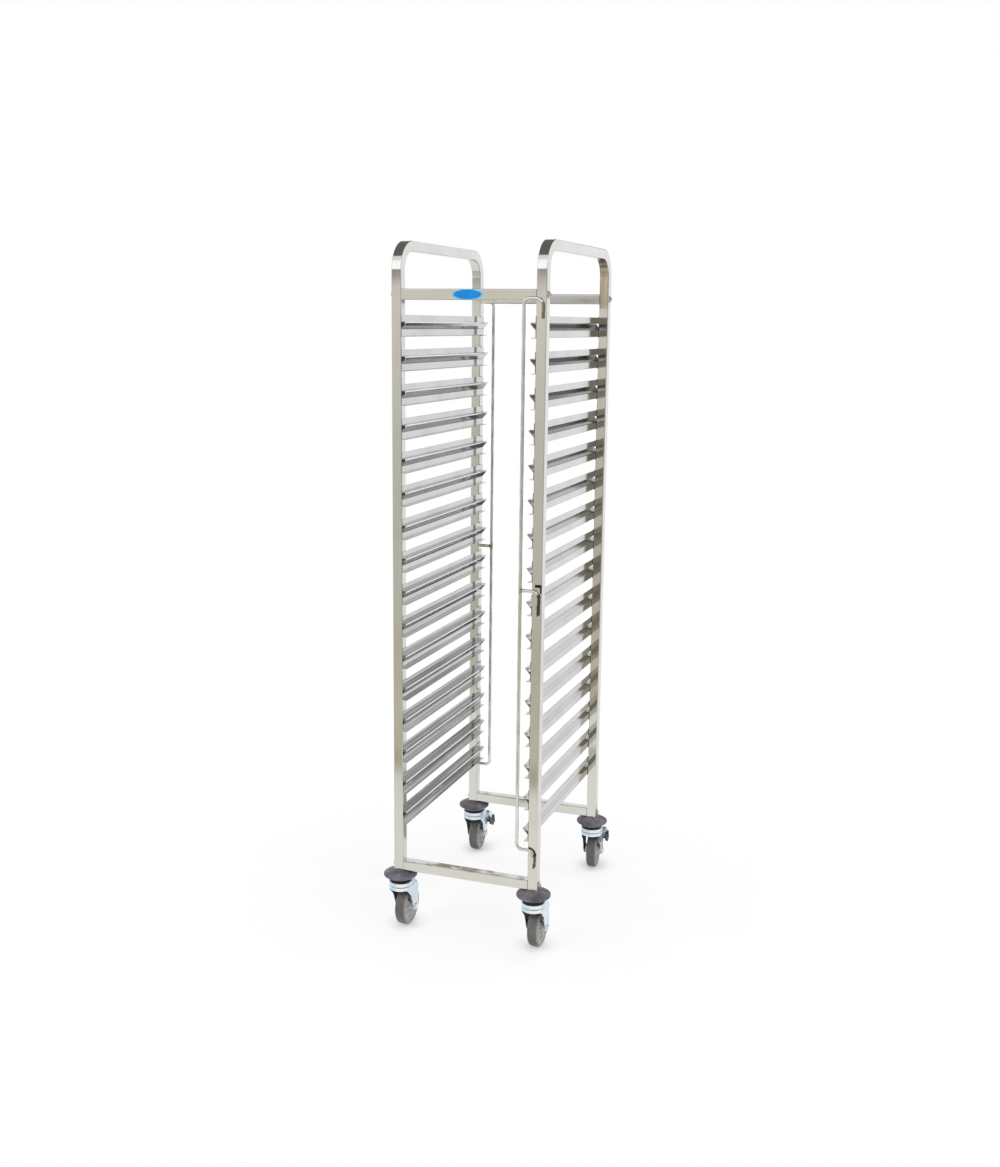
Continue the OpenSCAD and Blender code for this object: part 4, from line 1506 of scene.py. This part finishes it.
def mark_fork(mesh, place):
    """Marks painted shade inside the fork, and painted light and shade on its rims."""
    skirt_top, groove_foot, groove_top = 114.5, 119.0, 121.5
    insides, rims = [], []
    back = place.inverted()
    for face in mesh.polygons:
        at, facing = back @ (face.center / MM), back.to_3x3() @ face.normal
        # Painted shade: faces under and inside the fork, and the left leg's front edge.
        under = facing.x * math.copysign(1, at.x) < -0.5 or facing.z < -0.5
        left_edge = at.x < 0 and at.z < 110.5 and abs(facing.y) > 0.5
        insides.append(float(under or left_edge))
        # Painted highlight on the skirt's lower band and the right leg's edge; shade in the
        # groove.
        out = math.hypot(at.x, at.y)
        round_face = facing.x * at.x + facing.y * at.y > 0.98 * out and out > 27.5
        in_groove = groove_foot < at.z < groove_top
        skirt = round_face and (at.z < skirt_top or in_groove)
        front_edge = at.x > 0 and abs(at.x) < LEG_OUT + 1 and facing.y < -0.5
        ringed = (skirt or front_edge) and not under
        rims.append((-1.0 if in_groove else 1.0) if ringed else 0.0)
    mark(mesh, "inside", insides)
    mark(mesh, "rim", rims)


# The axle takes the rim's painted highlight, so it shows pale.
AXLE_HIGHLIGHT = 0.8
for corner in CASTORS:
    place, body = castor_place(corner), "castor_" + corner
    fork = mesh_of("fork_pressed_" + corner, together(fork_arch(), crown()), place, 38)
    mark_fork(fork, place)
    piece(fork.name, fork, zinc_plate, body, ["fork_" + corner])
    axle = eased("axle_" + corner, 0.5)
    mark(axle, "rim", [AXLE_HIGHLIGHT] * len(axle.polygons))
    piece("axle_eased_" + corner, axle, zinc_plate, body, ["axle_" + corner])
print("forks:", len(fork.polygons), "faces each")

# %% [markdown]
# A rubber disc over each castor keeps the trolley from marking walls. It is moulded with
# a neck that hides the swivel, an underside that flares out, and a softly domed top.

# %% Bumper discs
BUMPER_OUTLINE = rounded(
    [
        (10.1, 0, 0),
        (28.5, 0, 1.0),
        (28.5, 8.2, 3.0),
        (42.5, 15.2, 3.4),
        (42.5, 20.8, 3.6),
        (30.0, 27.8, 16.0),
        (16.2, 31.8, 1.2),
        (15.6, 32.0, 0),
        (10.1, 32.0, 0),
    ],
    steps=7,
)
for corner, (side, end, _) in CASTORS.items():
    upright_place = Matrix.Translation((side * POST_X, end * POST_Y, CASTOR_H))
    disc = mesh_of("bumper_moulded_" + corner, lathe(BUMPER_OUTLINE, 112), upright_place, 40)
    piece(disc.name, disc, bumper_rubber, "frame", ["bumper_" + corner])
print("bumpers:", len(disc.polygons), "faces each")

# %% [markdown]
# The wheel is a moulded centre with a band of soft rubber. The tyre has round shoulders,
# two fine tread grooves and a raised bead on each wall. The centre has ribs between its
# rim and its boss, and a recipe repeats one rib round the axle on both sides.

# %% Tyres and wheel centres
half_tyre = [
    (38.0, 14.0, 0.8),
    (40.4, 14.0, 0.3),
    (41.0, 13.5, 0.3),
    (43.0, 13.5, 1.5),
    (49.6, 12.2, 6.5),
    (49.95, 5.0, 0),
    (49.5, 4.7, 0),
    (49.5, 4.1, 0),
    (50.0, 3.8, 0),
]
TYRE_OUTLINE = rounded(half_tyre + [(r, -x, bend) for r, x, bend in half_tyre[::-1]], steps=5)
half_hub = [
    (6.05, 23.2, 0.5),
    (11.5, 23.2, 1.0),
    (13.0, 21.5, 0.8),
    (13.6, 7.0, 3.0),
    (32.6, 7.0, 2.0),
    (33.8, 11.6, 0.8),
    (38.0, 11.9, 0.4),
]
HUB_OUTLINE = rounded(half_hub + [(r, -x, bend) for r, x, bend in half_hub[::-1]], steps=4)


def rib_block():
    """One rib, drawn along +x from the boss to the rim, on the side towards +z."""
    outline = [(12.4, 6.0), (33.4, 6.0), (33.4, 10.2), (26.0, 9.6), (16.0, 14.5), (12.4, 19.0)]
    half_t = 0.9
    return block(*([(x, y, z) for x, z in outline] for y in (-half_t, half_t)))


ribbing = Recipe("ribs_round_an_axle", Count=8)
angle = ribbing.add("GeometryNodeInputIndex") * (2 * math.pi) / ribbing.inputs["Count"]
one_side = ribbing.on_points(
    ribbing.line((0.0, 0.0, 0.0)), ribbing.start, Rotation=ribbing.vector(0.0, 0.0, angle)
)
other_side = ribbing.moved(one_side, Rotation=(math.pi, 0, 0))
ribbing.serve(ribbing.joined(one_side, other_side))
rib_part = part_of(ribbing.cook("ribs", mesh_of("one_rib", rib_block()), hub_plastic))


def mark_walls(mesh, place):
    """Marks the tyre's two walls, where the rubber is paler than on the tread."""
    wall_from, wall_to = 11.2, 13.0
    back = place.inverted()
    from_middle = [abs((back @ (vertex.co / MM)).z) for vertex in mesh.vertices]
    shares = [(out - wall_from) / (wall_to - wall_from) for out in from_middle]
    mark(mesh, "wall", [min(max(share, 0.0), 1.0) for share in shares], "POINT")


for corner in CASTORS:
    place, body = axle_place(corner), "wheel_" + corner
    tyre = mesh_of("tyre_moulded_" + corner, lathe(TYRE_OUTLINE, 128), place, 35)
    mark_walls(tyre, place)
    piece(tyre.name, tyre, tyre_rubber, body, ["tyre_" + corner])
    hub = mesh_of("hub_ribbed_" + corner, together(lathe(HUB_OUTLINE), rib_part), place, 35)
    piece(hub.name, hub, hub_plastic, body, ["hub_" + corner])
print("tyre:", len(tyre.polygons), "faces, hub:", len(hub.polygons), "faces")

# %% [markdown]
# The brake lever is bent sheet with a moulded foot pad on its lower end. Both keep the
# CAD model's shapes with eased edges, and the pad gets the bars that stop a shoe from
# slipping. The recipe repeats one bar round the axle, where the pad's top is curved.

# %% Brakes
GRIP_BARS = 5
gripping = Recipe("grip_ribs", Count=GRIP_BARS, First=61.0, Step=4.0)
number = gripping.add("GeometryNodeInputIndex")
lean = (number * gripping.inputs["Step"] + gripping.inputs["First"]) * (-math.pi / 180)
leaning = gripping.on_points(
    gripping.line((0.0, 0.0, 0.0)), gripping.start, Rotation=gripping.vector(lean, 0.0, 0.0)
)
gripping.serve(leaning)


def grip_bar():
    """One round-backed bar across the pad, at the top of its curve before it is turned."""
    half_l, pad_r = 27.0, 68.6
    back = [(-1.0, -0.4), (-0.7, 0.45), (0, 0.7), (0.7, 0.45), (1.0, -0.4)]
    return block(*([(x, y, pad_r + rise) for y, rise in back] for x in (-half_l, half_l)))


bar_part = part_of(gripping.cook("grip_bars", mesh_of("one_bar", grip_bar()), pad_plastic))
for corner in ("rear_left", "rear_right"):
    body, lever, pad = (part + corner for part in ("brake_", "brake_lever_", "brake_pad_"))
    piece(lever + "_eased", eased(lever, 0.4), zinc_plate, body, [lever])
    piece(pad + "_eased", eased(pad, 0.8, 3), pad_plastic, body, [pad])
    bars = mesh_of("grip_bars_" + corner, bar_part, wheel_place(corner))
    piece(bars.name, bars, pad_plastic, body)
print("brakes: lever, pad and", GRIP_BARS, "grip bars on each rear castor")
